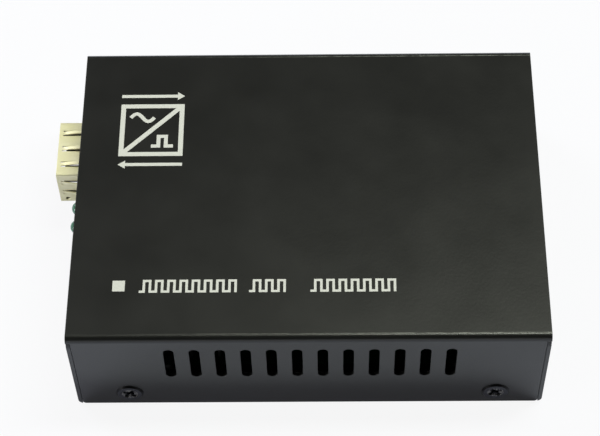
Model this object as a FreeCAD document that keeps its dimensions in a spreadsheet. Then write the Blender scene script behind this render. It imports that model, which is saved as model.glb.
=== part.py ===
import FreeCAD, Part
import collections
import math
import os
import re
import Sketcher
from FreeCAD import Placement, Rotation, Vector

# A compact fibre media converter: a folded steel box with an SFP cage, two indicator LEDs and an
# RJ45 jack on the port panel, and a DC inlet on the rear panel.
# X runs from the port panel (-) to the rear panel (+), Y across the box and Z up. The origin is the
# middle of the underside, on the surface that the box stands on. Sizes are in millimetres.

SIZES = (
    # case: a base folded up at both ends, under a cover folded down at both long sides
    ("case_length", 94.0),
    ("case_width", 70.3),
    ("case_height", 25.6),
    ("case_sheet", 0.8),
    ("case_bend", 0.55),           # inside radius of the folds
    ("case_gap", 0.1),             # between one folded sheet and the other
    ("panel_corner", 2.4),         # rounding of the end panels' upper corners
    ("side_corner", 0.7),          # rounding of the cover sides' lower corners
    # ventilation slots in both long sides
    ("vent_count", 12),
    ("vent_spacing", 5.02),
    ("vent_width", 2.1),
    ("vent_height", 11.6),
    ("vent_level", 9.8),           # foot of the slots above the underside
    ("vent_shift", 0.3),           # middle of the row towards the rear panel
    # cover screws, countersunk, and the base tabs that they bite into
    ("port_screw_inset", 10.8),
    ("rear_screw_inset", 9.6),
    ("cover_screw_level", 4.45),
    ("cover_screw_head", 5.6),     # where it meets the cover's surface
    ("cover_screw_face", 4.86),    # flat of the raised face
    ("cover_screw_rise", 0.37),    # how far that face stands out
    ("cover_screw_shank", 2.9),
    ("cover_screw_length", 4.9),
    ("cover_screw_bore", 3.0),
    ("recess_span", 3.2),
    ("recess_slot", 0.8),          # wing's width at its tip
    ("recess_core", 1.25),         # square core that the wings run into
    ("recess_rim_depth", 0.4),
    ("recess_depth", 0.9),
    ("recess_waist", 0.68),        # the lower part's size over the rim's
    ("tab_width", 13.0),
    ("tab_height", 8.4),
    ("tab_relief", 1.0),           # notch beside each tab's fold
    # main board on two stand-offs pressed into the bottom, one at each of two opposite corners
    ("board_level", 5.0),
    ("board_sheet", 1.6),
    ("board_side_gap", 4.35),      # to the cover's sides, for its screws
    ("board_end_gap", 0.6),
    ("board_hole", 2.8),
    ("board_hole_port_inset", 18.5),
    ("board_hole_rear_inset", 8.0),
    ("board_hole_side_inset", 3.2),
    ("standoff_flat", 4.8),
    ("standoff_bore", 2.2),
    ("standoff_bore_depth", 3.8),
    ("board_screw_shank", 2.1),
    ("board_screw_flat", 4.0),
    ("board_screw_head", 1.6),
    ("board_screw_length", 4.5),
    # SFP cage
    ("cage_inset", 18.0),          # middle of the cage from the far side
    ("cage_width", 14.0),
    ("cage_height", 9.4),
    ("cage_length", 48.8),
    ("cage_nose", 6.15),           # stands out of the port panel
    ("cage_sheet", 0.25),
    ("cage_bend", 0.3),
    ("cage_gap", 0.05),            # between the cage's cover and its base
    ("cage_window_gap", 0.65),     # round the cage in the port panel
    ("cage_pin_count", 4),
    ("cage_pin_spacing", 10.4),
    ("cage_pin_width", 0.8),
    ("pin_reach", 0.7),            # pins and leads below the board
    ("slit_start", 0.85),          # behind the cage's mouth
    ("slit_length", 9.4),
    ("slit_width", 0.3),           # each side of a spring finger
    ("finger_width", 0.75),
    ("finger_bow", 0.6),           # stands proud of the wall at the middle of its length
    ("finger_spacing", 4.0),       # across the cage's top
    ("side_finger_drop", 2.5),     # upper side finger below the cage's top
    ("side_finger_spacing", 3.5),
    ("finger_hole", 1.0),
    ("finger_hole_inset", 1.6),
    ("finger_hole_level", 1.0),
    ("latch_width", 4.2),
    ("latch_length", 9.5),
    ("latch_slit", 0.6),
    ("latch_hole", 2.6),
    ("latch_hole_inset", 2.2),
    # SFP edge connector
    ("edge_width", 11.2),
    ("edge_length", 10.0),
    ("edge_height", 6.2),
    ("edge_rear_gap", 2.6),
    ("edge_slot_width", 9.3),
    ("edge_slot_height", 1.3),
    ("edge_slot_depth", 6.5),
    ("edge_slot_level", 3.0),
    ("edge_contact_reach", 4.5),   # contacts in the slot, from its floor
    ("edge_contact_count", 10),
    ("edge_contact_spacing", 0.8),
    ("edge_contact_width", 0.3),
    ("edge_contact_sheet", 0.2),
    ("edge_contact_foot", 1.1),
    # RJ45 jack
    ("rj45_inset", 16.15),         # middle of the jack from the near side
    ("rj45_width", 16.0),
    ("rj45_height", 13.3),
    ("rj45_length", 15.8),
    ("rj45_sheet", 0.25),
    ("rj45_gap", 0.05),            # shield to housing
    ("rj45_window_gap", 0.25),     # shield to panel
    ("plug_width", 11.9),
    ("plug_height", 7.0),
    ("plug_level", 3.7),
    ("plug_depth", 13.0),
    ("plug_latch_width", 6.3),
    ("plug_latch_drop", 2.0),
    ("jack_contact_count", 8),
    ("jack_contact_spacing", 1.02),
    ("jack_contact_width", 0.46),
    ("jack_contact_sheet", 0.3),
    ("jack_contact_drop", 2.3),
    ("jack_contact_inset", 1.3),
    ("jack_contact_reach", 9.0),
    ("jack_leg_width", 1.2),
    ("jack_leg_inset", 5.5),
    # indicator LEDs
    ("led_shift", -0.45),           # middle of the pair across the panel
    ("led_spacing", 4.55),
    ("led_level", 16.0),
    ("led_width", 3.0),
    ("led_nose", 2.15),            # stands out of the port panel
    ("led_length", 5.3),
    ("led_hole_gap", 0.1),
    ("led_lead", 0.4),
    ("led_lead_spacing", 2.54),
    ("led_block_width", 9.4),
    ("led_block_length", 5.6),
    ("led_block_gap", 0.15),       # block to panel
    ("led_block_above", 2.6),
    # DC inlet
    ("inlet_inset", 17.15),        # middle of the inlet from the far side
    ("inlet_width", 9.0),
    ("inlet_height", 11.0),
    ("inlet_length", 14.2),
    ("inlet_gap", 0.15),           # jack to panel
    ("inlet_level", 6.6),          # barrel above the board
    ("inlet_bore", 6.3),
    ("inlet_bore_depth", 9.6),
    ("inlet_hole", 7.6),
    ("inlet_pin", 2.0),
    ("inlet_pin_length", 8.6),
    ("inlet_tang_width", 1.6),
    ("inlet_tang_sheet", 0.4),
    ("inlet_blade_width", 2.4),
    ("inlet_blade_sheet", 0.3),
    ("inlet_blade_crest", 5.3),    # from the floor of the bore
    # Ethernet transformer
    ("magnetics_x", -19.2),
    ("magnetics_length", 12.0),
    ("magnetics_width", 15.6),
    ("magnetics_height", 6.0),
    ("magnetics_lead_count", 6),
    ("magnetics_lead_spacing", 1.9),
    # converter chip
    ("chip_x", 6.0),
    ("chip_y", -12.0),
    ("chip_width", 9.0),
    ("chip_height", 0.9),
    # memory chip
    ("memory_x", 22.0),
    ("memory_y", -20.0),
    ("memory_length", 4.9),
    ("memory_width", 3.9),
    ("memory_height", 1.5),
    ("memory_lead_count", 4),
    ("memory_lead_spacing", 1.27),
    # gull-wing leads
    ("lead_sheet", 0.2),
    ("lead_width", 0.45),
    ("lead_foot", 0.8),
    ("lead_shoulder", 0.5),
    ("lead_lift", 0.15),           # package above the board
    # crystal
    ("crystal_x", 22.0),
    ("crystal_y", -6.0),
    ("crystal_length", 11.0),
    ("crystal_width", 4.6),
    ("crystal_height", 3.6),
    # power supply
    ("regulator_x", 14.0),
    ("regulator_y", 8.0),
    ("regulator_width", 6.5),
    ("regulator_length", 6.1),
    ("regulator_height", 2.3),
    ("regulator_tab", 1.0),        # shows behind the body
    ("regulator_tab_width", 5.2),
    ("regulator_tab_sheet", 0.5),
    ("regulator_spacing", 4.57),
    ("inductor_gap", 5.35),        # behind the cage
    ("inductor_y", 20.0),
    ("inductor_width", 7.3),
    ("inductor_height", 4.5),
    ("inductor_corner", 1.6),
    ("capacitor_x", 23.0),
    ("capacitor_spacing", 10.0),
    ("capacitor_width", 6.3),
    ("capacitor_height", 11.0),
    ("diode_gap", 4.2),            # behind the inductor
    ("diode_y", 23.5),
    ("diode_length", 4.3),
    ("diode_width", 2.6),
    ("diode_height", 2.2),
    ("diode_strap", 0.3),
    # small chip resistors and capacitors
    ("passive_length", 1.6),
    ("passive_width", 0.8),
    ("passive_height", 0.6),
    ("passive_spacing", 2.4),
)

doc = FreeCAD.newDocument("fibre_media_converter")
sheet = doc.addObject("Spreadsheet::Sheet", "Sizes")
for row, (alias, size) in enumerate(SIZES, start=1):
    sheet.set(f"A{row}", alias)
    sheet.set(f"B{row}", str(size))
    sheet.setAlias(f"B{row}", alias)
doc.recompute()

ALIASES = {alias for alias, size in SIZES}
NODES = []

# Places that several pieces share, written with the sheet's names.
PORT_FACE = "(-case_length / 2)"
REAR_FACE = "(case_length / 2)"
PORT_INNER = "(-case_length / 2 + case_sheet)"
REAR_INNER = "(case_length / 2 - case_sheet)"
PANEL_TOP = "(case_height - case_sheet - case_gap)"
SIDE_FACE = "(case_width / 2)"
CAGE_Y = "(case_width / 2 - cage_inset)"
JACK_Y = "(rj45_inset - case_width / 2)"
INLET_Y = "(case_width / 2 - inlet_inset)"
FOLD = "(case_bend + case_sheet)"
PORT_SCREW = "(-case_length / 2 + port_screw_inset)"
SCREW_SPACING = "(case_length - port_screw_inset - rear_screw_inset)"
TAB_FACE = "(case_width / 2 - case_sheet - case_gap)"
BOARD_TOP = "(board_level + board_sheet)"
PIN_END = "(board_level - pin_reach)"
BOARD_SIDE = "(case_width / 2 - case_sheet - board_side_gap)"
BOARD_PORT_EDGE = f"({PORT_INNER} + board_end_gap)"
BOARD_HOLE_Y = f"({BOARD_SIDE} - board_hole_side_inset)"
BOARD_HOLES = (
    ("(-case_length / 2 + board_hole_port_inset)", f"(-{BOARD_HOLE_Y})"),
    ("(case_length / 2 - board_hole_rear_inset)", BOARD_HOLE_Y),
)
CAGE_MOUTH = "(-case_length / 2 - cage_nose)"
CAGE_REAR = f"({CAGE_MOUTH} + cage_length)"
CAGE_TOP = f"({BOARD_TOP} + cage_height)"
SLIT_X = f"({CAGE_MOUTH} + slit_start)"
SLIT_END = f"({SLIT_X} + slit_length)"
INDUCTOR_X = f"({CAGE_REAR} + cage_sheet + inductor_gap + inductor_width / 2)"
DIODE_X = f"({INDUCTOR_X} + inductor_width / 2 + diode_gap + diode_length / 2)"
EDGE_REAR = f"({CAGE_REAR} - edge_rear_gap)"
EDGE_FRONT = f"({EDGE_REAR} - edge_length)"
EDGE_SLOT_MID = f"({BOARD_TOP} + edge_slot_level)"
JACK_FRONT = f"({PORT_FACE} + rj45_sheet + rj45_gap)"
JACK_REAR = f"({PORT_FACE} + rj45_length - rj45_sheet - rj45_gap)"
PLUG_FLOOR = f"({BOARD_TOP} + plug_level)"
PLUG_CEILING = f"({BOARD_TOP} + plug_level + plug_height)"
LED_PLACES = [f"(led_shift + {side} * led_spacing / 2)" for side in (-1, 1)]
LED_TIP = f"({PORT_FACE} - led_nose)"
LED_BACK = f"({LED_TIP} + led_length)"
LED_BLOCK_FRONT = f"({PORT_INNER} + led_block_gap)"
LED_BLOCK_REAR = f"({LED_BLOCK_FRONT} + led_block_length)"
INLET_FACE = f"({REAR_INNER} - inlet_gap)"
INLET_REAR = f"({INLET_FACE} - inlet_length)"
INLET_AXIS = f"({BOARD_TOP} + inlet_level)"


# ---- helpers: sizes by name, sketches and features ----

Arc = collections.namedtuple("Arc", "across up turn")


def bound(text):
    """The expression with each name pointed at the sheet."""
    return re.sub(r"[a-z]\w*", lambda m: "Sizes." + m[0] if m[0] in ALIASES else m[0], str(text))


def number(text):
    """The expression's value at the present sizes."""
    return float(sheet.evalExpression(str(text)))


def node(piece, label):
    """Names a finished piece; it is written out under this name."""
    piece.Label = label
    NODES.append(piece)
    return piece


def new_body(label, is_node=True):
    body = doc.addObject("PartDesign::Body", label)
    if is_node:
        node(body, label)
    return body


def origin_of(body, role):
    return [feature for feature in body.Origin.OriginFeatures if feature.Role == role][0]


def new_sketch(body, plane, at=("0", "0", "0")):
    """A sketch on one of the body's planes, moved along its own axes."""
    sketch = body.newObject("Sketcher::SketchObject", body.Name + "_" + plane[:2])
    sketch.AttachmentSupport = [(origin_of(body, plane + "_Plane"), "")]
    sketch.MapMode = "FlatFace"
    for axis, text in zip("xyz", at):
        sketch.setExpression(f"AttachmentOffset.Base.{axis}", bound(text))
    return sketch


def direction(first, second):
    """-1, 0 or 1 along each of the two axes, from one corner towards another."""
    steps = [number(second[k]) - number(first[k]) for k in (0, 1)]
    return [0 if abs(step) < 1e-6 else int(math.copysign(1, step)) for step in steps]


def with_rounding(corners):
    """Swaps each corner that has a radius for two tangent points with an arc between them."""
    items = []
    for place, corner in enumerate(corners):
        if isinstance(corner, Arc) or len(corner) == 2:
            items.append(corner)
            continue
        back = direction(corner, corners[place - 1])
        onward = direction(corner, corners[(place + 1) % len(corners)])
        radius = corner[2]
        items.append(tuple(f"{corner[k]} + {back[k]} * ({radius})" for k in (0, 1)))
        centre = [f"{corner[k]} + {back[k] + onward[k]} * ({radius})" for k in (0, 1)]
        items.append(Arc(*centre, onward[0] * back[1] - onward[1] * back[0]))
        items.append(tuple(f"{corner[k]} + {onward[k]} * ({radius})" for k in (0, 1)))
    return items


def pin_point(sketch, edge, end, place, axes=(0, 1)):
    """Holds one point of the sketch at named distances from its origin."""
    for axis in axes:
        kind = ("DistanceX", "DistanceY")[axis]
        rule = Sketcher.Constraint(kind, -1, 1, edge, end, number(place[axis]))
        index = sketch.addConstraint(rule)
        sketch.setExpression(f"Constraints[{index}]", bound(place[axis]))


def trace(sketch, corners):
    """Draws one closed outline. A corner is (across, up), or (across, up, radius) where two square
    edges meet in a rounding. Arc(across, up, turn) between two corners is an arc about that centre,
    anticlockwise where turn is 1 and clockwise where it is -1."""
    items = with_rounding(corners)
    points = [item for item in items if not isinstance(item, Arc)]
    arcs = {}
    for place, item in enumerate(items):
        if isinstance(item, Arc):
            arcs[sum(not isinstance(other, Arc) for other in items[:place]) - 1] = item
    ends = []
    for place, start in enumerate(points):
        finish = points[(place + 1) % len(points)]
        first = Vector(number(start[0]), number(start[1]), 0)
        last = Vector(number(finish[0]), number(finish[1]), 0)
        arc = arcs.get(place)
        if arc is None:
            edge = sketch.addGeometry(Part.LineSegment(first, last), False)
            ends.append((edge, 1, 2))
            continue
        middle = Vector(number(arc.across), number(arc.up), 0)
        circle = Part.Circle(middle, Vector(0, 0, 1), (first - middle).Length)
        angles = [math.atan2(spot.y - middle.y, spot.x - middle.x) for spot in (first, last)]
        edge = sketch.addGeometry(Part.ArcOfCircle(circle, *angles[::arc.turn]), False)
        ends.append((edge, 1, 2) if arc.turn > 0 else (edge, 2, 1))
    for place, (edge, begin, end) in enumerate(ends):
        follower = ends[(place + 1) % len(ends)]
        sketch.addConstraint(Sketcher.Constraint("Coincident", edge, end, follower[0], follower[1]))
        pin_point(sketch, edge, begin, points[place])
    for place, arc in arcs.items():
        start, finish = points[place], points[(place + 1) % len(points)]
        chord = [abs(number(finish[k]) - number(start[k])) for k in (0, 1)]
        axis = 1 if chord[0] >= chord[1] else 0
        pin_point(sketch, ends[place][0], 3, (arc.across, arc.up), axes=(axis,))


def ring(sketch, across, up, width):
    """Draws a circle of the given diameter."""
    radius = f"({width}) / 2"
    circle = Part.Circle(Vector(number(across), number(up), 0), Vector(0, 0, 1), number(radius))
    edge = sketch.addGeometry(circle, False)
    pin_point(sketch, edge, 3, (across, up))
    index = sketch.addConstraint(Sketcher.Constraint("Radius", edge, number(radius)))
    sketch.setExpression(f"Constraints[{index}]", bound(radius))


def box_outline(low_across, high_across, low_up, high_up, radius=None):
    corners = [(low_across, low_up), (high_across, low_up), (high_across, high_up), (low_across, high_up)]
    return [corner + (radius,) for corner in corners] if radius else corners


def centred(middle, width, low_up, high_up, radius=None):
    half = f"({width}) / 2"
    return box_outline(f"{middle} - {half}", f"{middle} + {half}", low_up, high_up, radius)


def bow_rise(rise, span):
    """From a bow's chord to the centre of its arc."""
    return f"((({span}) / 2)^2 - ({rise})^2) / (2 * ({rise}))"


def grow(body, sketch, length, both=True, flip=False):
    """Pads a sketch, to both sides of its plane unless told otherwise."""
    feature = body.newObject("PartDesign::Pad", body.Name + "_pad")
    feature.Profile = sketch
    feature.setExpression("Length", bound(length))
    feature.Midplane = both
    feature.Reversed = flip
    body.Tip = feature
    return feature


def cut(body, sketch, depth=None):
    """Cuts a sketch out to both sides of its plane, right through unless a depth is given."""
    feature = body.newObject("PartDesign::Pocket", body.Name + "_cut")
    feature.Profile = sketch
    feature.Midplane = True
    if depth is None:
        feature.Type = "ThroughAll"
    else:
        feature.setExpression("Length", bound(depth))
    body.Tip = feature
    return feature


def turn(body, sketch, kind="Revolution", axis="V_Axis"):
    """Adds (Revolution) or removes (Groove) a sketch turned about one of its own axes."""
    feature = body.newObject("PartDesign::" + kind, body.Name + "_turned")
    feature.Profile = sketch
    feature.ReferenceAxis = (sketch, [axis])
    feature.Angle = 360
    body.Tip = feature
    return feature


def repeat(body, feature, axis, count, pitch):
    """A straight row of copies of one feature."""
    row = body.newObject("PartDesign::LinearPattern", body.Name + "_row")
    row.Originals = [feature]
    row.Direction = (origin_of(body, axis + "_Axis"), [""])
    row.setExpression("Occurrences", bound(count))
    row.setExpression("Length", bound(f"({pitch}) * ({count} - 1)"))
    body.Tip = row
    return row


def join_or_cut(kind, label, base, tools, is_node=True):
    """Part::Cut of one piece by others, whose shapes it then meets face to face."""
    tool = tools[0]
    if len(tools) > 1:
        tool = doc.addObject("Part::Compound", label + "_tools")
        tool.Links = tools
    result = doc.addObject(kind, label)
    result.Base = base
    result.Tool = tool
    if is_node:
        node(result, label)
    return result


def set_place(piece, across, along, up):
    for axis, text in zip("xyz", (across, along, up)):
        piece.setExpression(f"Placement.Base.{axis}", bound(text))


def group(label, master, places):
    """One node of like pieces: each place is (x, y, z, rotation)."""
    links = []
    for place in places:
        link = doc.addObject("App::Link", label + "_piece")
        link.LinkedObject = master
        link.Placement = Placement(Vector(0, 0, 0), place[3])
        set_place(link, *place[:3])
        links.append(link)
    result = doc.addObject("Part::Compound", label)
    result.Links = links
    return node(result, label)


# ---- case ----

def make_cover():
    """Top and two long sides in one folded sheet; the top and its folds reach over the end panels."""
    body = new_body("top_cover")
    outline = new_sketch(body, "YZ")
    inner = f"({SIDE_FACE} - case_sheet)"
    roof = "(case_height - case_sheet)"
    trace(outline, [
        (f"-{SIDE_FACE}", "case_gap"), (f"-{inner}", "case_gap"),
        (f"-{inner}", roof, "case_bend"), (inner, roof, "case_bend"),
        (inner, "case_gap"), (SIDE_FACE, "case_gap"),
        (SIDE_FACE, "case_height", FOLD), (f"-{SIDE_FACE}", "case_height", FOLD),
    ])
    grow(body, outline, "case_length")

    side_end = f"({REAR_INNER} - case_gap)"
    ends = new_sketch(body, "XY")
    for x_sign in ("-", ""):
        for y_sign in ("-", ""):
            trace(ends, box_outline(
                f"{x_sign}{side_end}", f"{x_sign}case_length",
                f"{y_sign}({SIDE_FACE} - {FOLD})", f"{y_sign}case_width"))
    cut(body, ends, f"2 * (case_height - {FOLD})")

    feet = new_sketch(body, "XZ")
    for sign in (-1, 1):
        corner = f"({sign} * {side_end})"
        inset = f"({sign} * ({side_end} - side_corner))"
        trace(feet, [
            (corner, "case_gap"), (corner, "case_gap + side_corner"),
            Arc(inset, "case_gap + side_corner", -sign), (inset, "case_gap"),
        ])
    cut(body, feet)

    slot = new_sketch(body, "XZ")
    first = "(vent_shift - vent_spacing * (vent_count - 1) / 2)"
    low = "(vent_level + vent_width / 2)"
    high = "(vent_level + vent_height - vent_width / 2)"
    left = f"{first} - vent_width / 2"
    right = f"{first} + vent_width / 2"
    trace(slot, [
        (right, low), (right, high), Arc(first, high, 1), (left, high), (left, low), Arc(first, low, 1),
    ])
    repeat(body, cut(body, slot), "X", "vent_count", "vent_spacing")

    sink = new_sketch(body, "XY", (PORT_SCREW, "0", "cover_screw_level"))
    head = "(cover_screw_head / 2)"
    for sign in ("-", ""):
        trace(sink, [
            ("0", f"{sign}{inner}"), (f"{head} - case_sheet", f"{sign}{inner}"),
            (head, f"{sign}{SIDE_FACE}"), ("0", f"{sign}{SIDE_FACE}"),
        ])
    repeat(body, turn(body, sink, "Groove"), "X", "2", SCREW_SPACING)
    return body


def make_base():
    """Bottom and both end panels in one folded sheet, with the openings and the screw tabs."""
    body = new_body("base_pan")
    outline = new_sketch(body, "XZ")
    trace(outline, [
        (PORT_FACE, PANEL_TOP), (PORT_FACE, "0", FOLD), (REAR_FACE, "0", FOLD), (REAR_FACE, PANEL_TOP),
        (REAR_INNER, PANEL_TOP), (REAR_INNER, "case_sheet", "case_bend"),
        (PORT_INNER, "case_sheet", "case_bend"), (PORT_INNER, PANEL_TOP),
    ])
    grow(body, outline, "case_width")

    strips = new_sketch(body, "XY")
    for sign in ("-", ""):
        trace(strips, box_outline(PORT_INNER, REAR_INNER, f"{sign}{TAB_FACE}", f"{sign}case_width"))
    cut(body, strips)

    corners = new_sketch(body, "YZ")
    for sign in (-1, 1):
        edge = f"({sign} * {SIDE_FACE})"
        inset = f"({sign} * ({SIDE_FACE} - panel_corner))"
        trace(corners, [
            (edge, PANEL_TOP), (edge, f"{PANEL_TOP} - panel_corner"),
            Arc(inset, f"{PANEL_TOP} - panel_corner", sign), (inset, PANEL_TOP),
        ])
    cut(body, corners)

    notches = new_sketch(body, "XY")
    for middle in (PORT_SCREW, f"({PORT_SCREW} + {SCREW_SPACING})"):
        for sign in ("-", ""):
            trace(notches, centred(
                middle, "tab_width + 2 * tab_relief", f"{sign}({TAB_FACE} - {FOLD})", f"{sign}case_width"))
    cut(body, notches, "4 * case_sheet")

    tabs = new_sketch(body, "YZ", ("0", "0", PORT_SCREW))
    for sign in ("-", ""):
        root = f"{sign}({TAB_FACE} - {FOLD} - case_sheet)"
        outer = f"{sign}{TAB_FACE}"
        inner = f"{sign}({TAB_FACE} - case_sheet)"
        trace(tabs, [
            (root, "0"), (outer, "0", FOLD), (outer, "tab_height"),
            (inner, "tab_height"), (inner, "case_sheet", "case_bend"), (root, "case_sheet"),
        ])
    repeat(body, grow(body, tabs, "tab_width"), "X", "2", SCREW_SPACING)

    bores = new_sketch(body, "XZ")
    ring(bores, PORT_SCREW, "cover_screw_level", "cover_screw_bore")
    ring(bores, f"{PORT_SCREW} + {SCREW_SPACING}", "cover_screw_level", "cover_screw_bore")
    cut(body, bores)

    port = new_sketch(body, "YZ", ("0", "0", PORT_FACE))
    trace(port, centred(
        CAGE_Y, "cage_width + 2 * cage_window_gap", f"{BOARD_TOP} - cage_window_gap",
        f"{CAGE_TOP} + cage_window_gap"))
    trace(port, centred(
        JACK_Y, "rj45_width + 2 * rj45_window_gap", BOARD_TOP,
        f"{BOARD_TOP} + rj45_height + rj45_window_gap"))
    for across in LED_PLACES:
        ring(port, across, "led_level", "led_width + 2 * led_hole_gap")
    cut(body, port, "4 * case_sheet")

    inlet = new_sketch(body, "YZ", ("0", "0", REAR_FACE))
    ring(inlet, INLET_Y, INLET_AXIS, "inlet_hole")
    cut(body, inlet, "4 * case_sheet")

    seats = new_sketch(body, "XY")
    for across, along in BOARD_HOLES:
        trace(seats, hexagon(across, along, "standoff_flat"))
    cut(body, seats, "4 * case_sheet")


def hexagon(across, along, flat):
    """Six corners about a point, from the width across the flats."""
    slant = f"({flat}) / 2 / cos(30)"
    return [
        (f"{across} + {slant} * cos({angle})", f"{along} + {slant} * sin({angle})")
        for angle in range(0, 360, 60)
    ]


def cross_recess(body):
    """The cross of a screwdriver recess, wide at the head's face and narrower below."""
    for share, depth in (("1", "recess_rim_depth"), ("recess_waist", "recess_depth")):
        sketch = new_sketch(body, "XY")
        span = f"({share} * recess_span / 2)"
        slot = f"({share} * recess_slot / 2)"
        core = f"({share} * recess_core / 2)"
        trace(sketch, [
            (span, f"-{slot}"), (span, slot), (core, core), (slot, span), (f"-{slot}", span),
            (f"-{core}", core), (f"-{span}", slot), (f"-{span}", f"-{slot}"), (f"-{core}", f"-{core}"),
            (f"-{slot}", f"-{span}"), (slot, f"-{span}"), (core, f"-{core}"),
        ])
        cut(body, sketch, f"2 * {depth}")


def make_cover_screws():
    """Cross-recess screws with raised, undercut countersunk heads for thin sheet, two to a side."""
    screw = new_body("cover_screw", is_node=False)
    half = new_sketch(screw, "XZ")
    head = "(cover_screw_head / 2)"
    shank = "(cover_screw_shank / 2)"
    seat = "(cover_screw_rise + case_sheet)"
    trace(half, [
        ("0", "0"), ("cover_screw_face / 2", "0"), (head, "-cover_screw_rise"),
        (f"{head} - case_sheet", f"-{seat}"), (shank, f"-{seat}"),
        (shank, "-cover_screw_length"), ("0", "-cover_screw_length"),
    ])
    turn(screw, half)
    cross_recess(screw)
    places = []
    for step, spin in ((0, 35), (1, 52)):
        for sign in (-1, 1):
            facing = Rotation(Vector(1, 0, 0), -90 * sign)
            places.append((
                f"{PORT_SCREW} + {step} * {SCREW_SPACING}", f"{sign} * ({SIDE_FACE} + cover_screw_rise)",
                "cover_screw_level", facing * Rotation(Vector(0, 0, 1), spin * sign)))
    group("cover_screws", screw, places)


# ---- board and its fixings ----

def make_standoffs():
    """Hexagon stand-offs, flush with the underside, threaded from above and closed below."""
    standoff = new_body("board_standoff", is_node=False)
    barrel = new_sketch(standoff, "XY")
    trace(barrel, hexagon("0", "0", "standoff_flat"))
    grow(standoff, barrel, "board_level", both=False)
    bore = new_sketch(standoff, "XY", ("0", "0", "board_level"))
    ring(bore, "0", "0", "standoff_bore")
    cut(standoff, bore, "2 * standoff_bore_depth")
    group("board_standoffs", standoff, [place + ("0", Rotation()) for place in BOARD_HOLES])


def make_board_screws():
    """Hexagon-head screws through the board into the stand-offs."""
    screw = new_body("board_screw", is_node=False)
    head = new_sketch(screw, "XY")
    trace(head, hexagon("0", "0", "board_screw_flat"))
    grow(screw, head, "board_screw_head", both=False)
    shank = new_sketch(screw, "XY")
    ring(shank, "0", "0", "board_screw_shank")
    grow(screw, shank, "board_screw_length", both=False, flip=True)
    group("board_screws", screw, [place + (BOARD_TOP, Rotation()) for place in BOARD_HOLES])


def make_board(soldered):
    """One glass-fibre board; the soldered pins and leads fill their holes."""
    body = new_body("bare_board", is_node=False)
    outline = new_sketch(body, "XY", ("0", "0", "board_level"))
    trace(outline, box_outline(BOARD_PORT_EDGE, f"-{BOARD_PORT_EDGE}", f"-{BOARD_SIDE}", BOARD_SIDE))
    grow(body, outline, "board_sheet", both=False)
    holes = new_sketch(body, "XY", ("0", "0", "board_level"))
    for across, along in BOARD_HOLES:
        ring(holes, across, along, "board_hole")
    cut(body, holes)
    return join_or_cut("Part::Cut", "main_board", body, soldered)


# ---- SFP cage and connector ----

def finger_opening(middle):
    """The opening that leaves a slit each side of a spring finger."""
    reach = "(finger_width / 2 + slit_width)"
    return box_outline(SLIT_X, SLIT_END, f"{middle} - {reach}", f"{middle} + {reach}")


def bowed_finger(body, plane, at, surface, outward):
    """One spring finger: a strip of the cage's wall, bowed outwards between its two ends."""
    sketch = new_sketch(body, plane, at)
    near, far = SLIT_X, SLIT_END
    middle = f"{SLIT_X} + slit_length / 2"
    back = bow_rise("finger_bow", "slit_length")
    inner = f"({surface} - {outward} * cage_sheet)"
    trace(sketch, [
        (near, inner), (near, surface), Arc(middle, f"{surface} - {outward} * {back}", -outward),
        (far, surface), (far, inner), Arc(middle, f"{inner} - {outward} * {back}", outward),
    ])
    grow(body, sketch, "finger_width")


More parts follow.
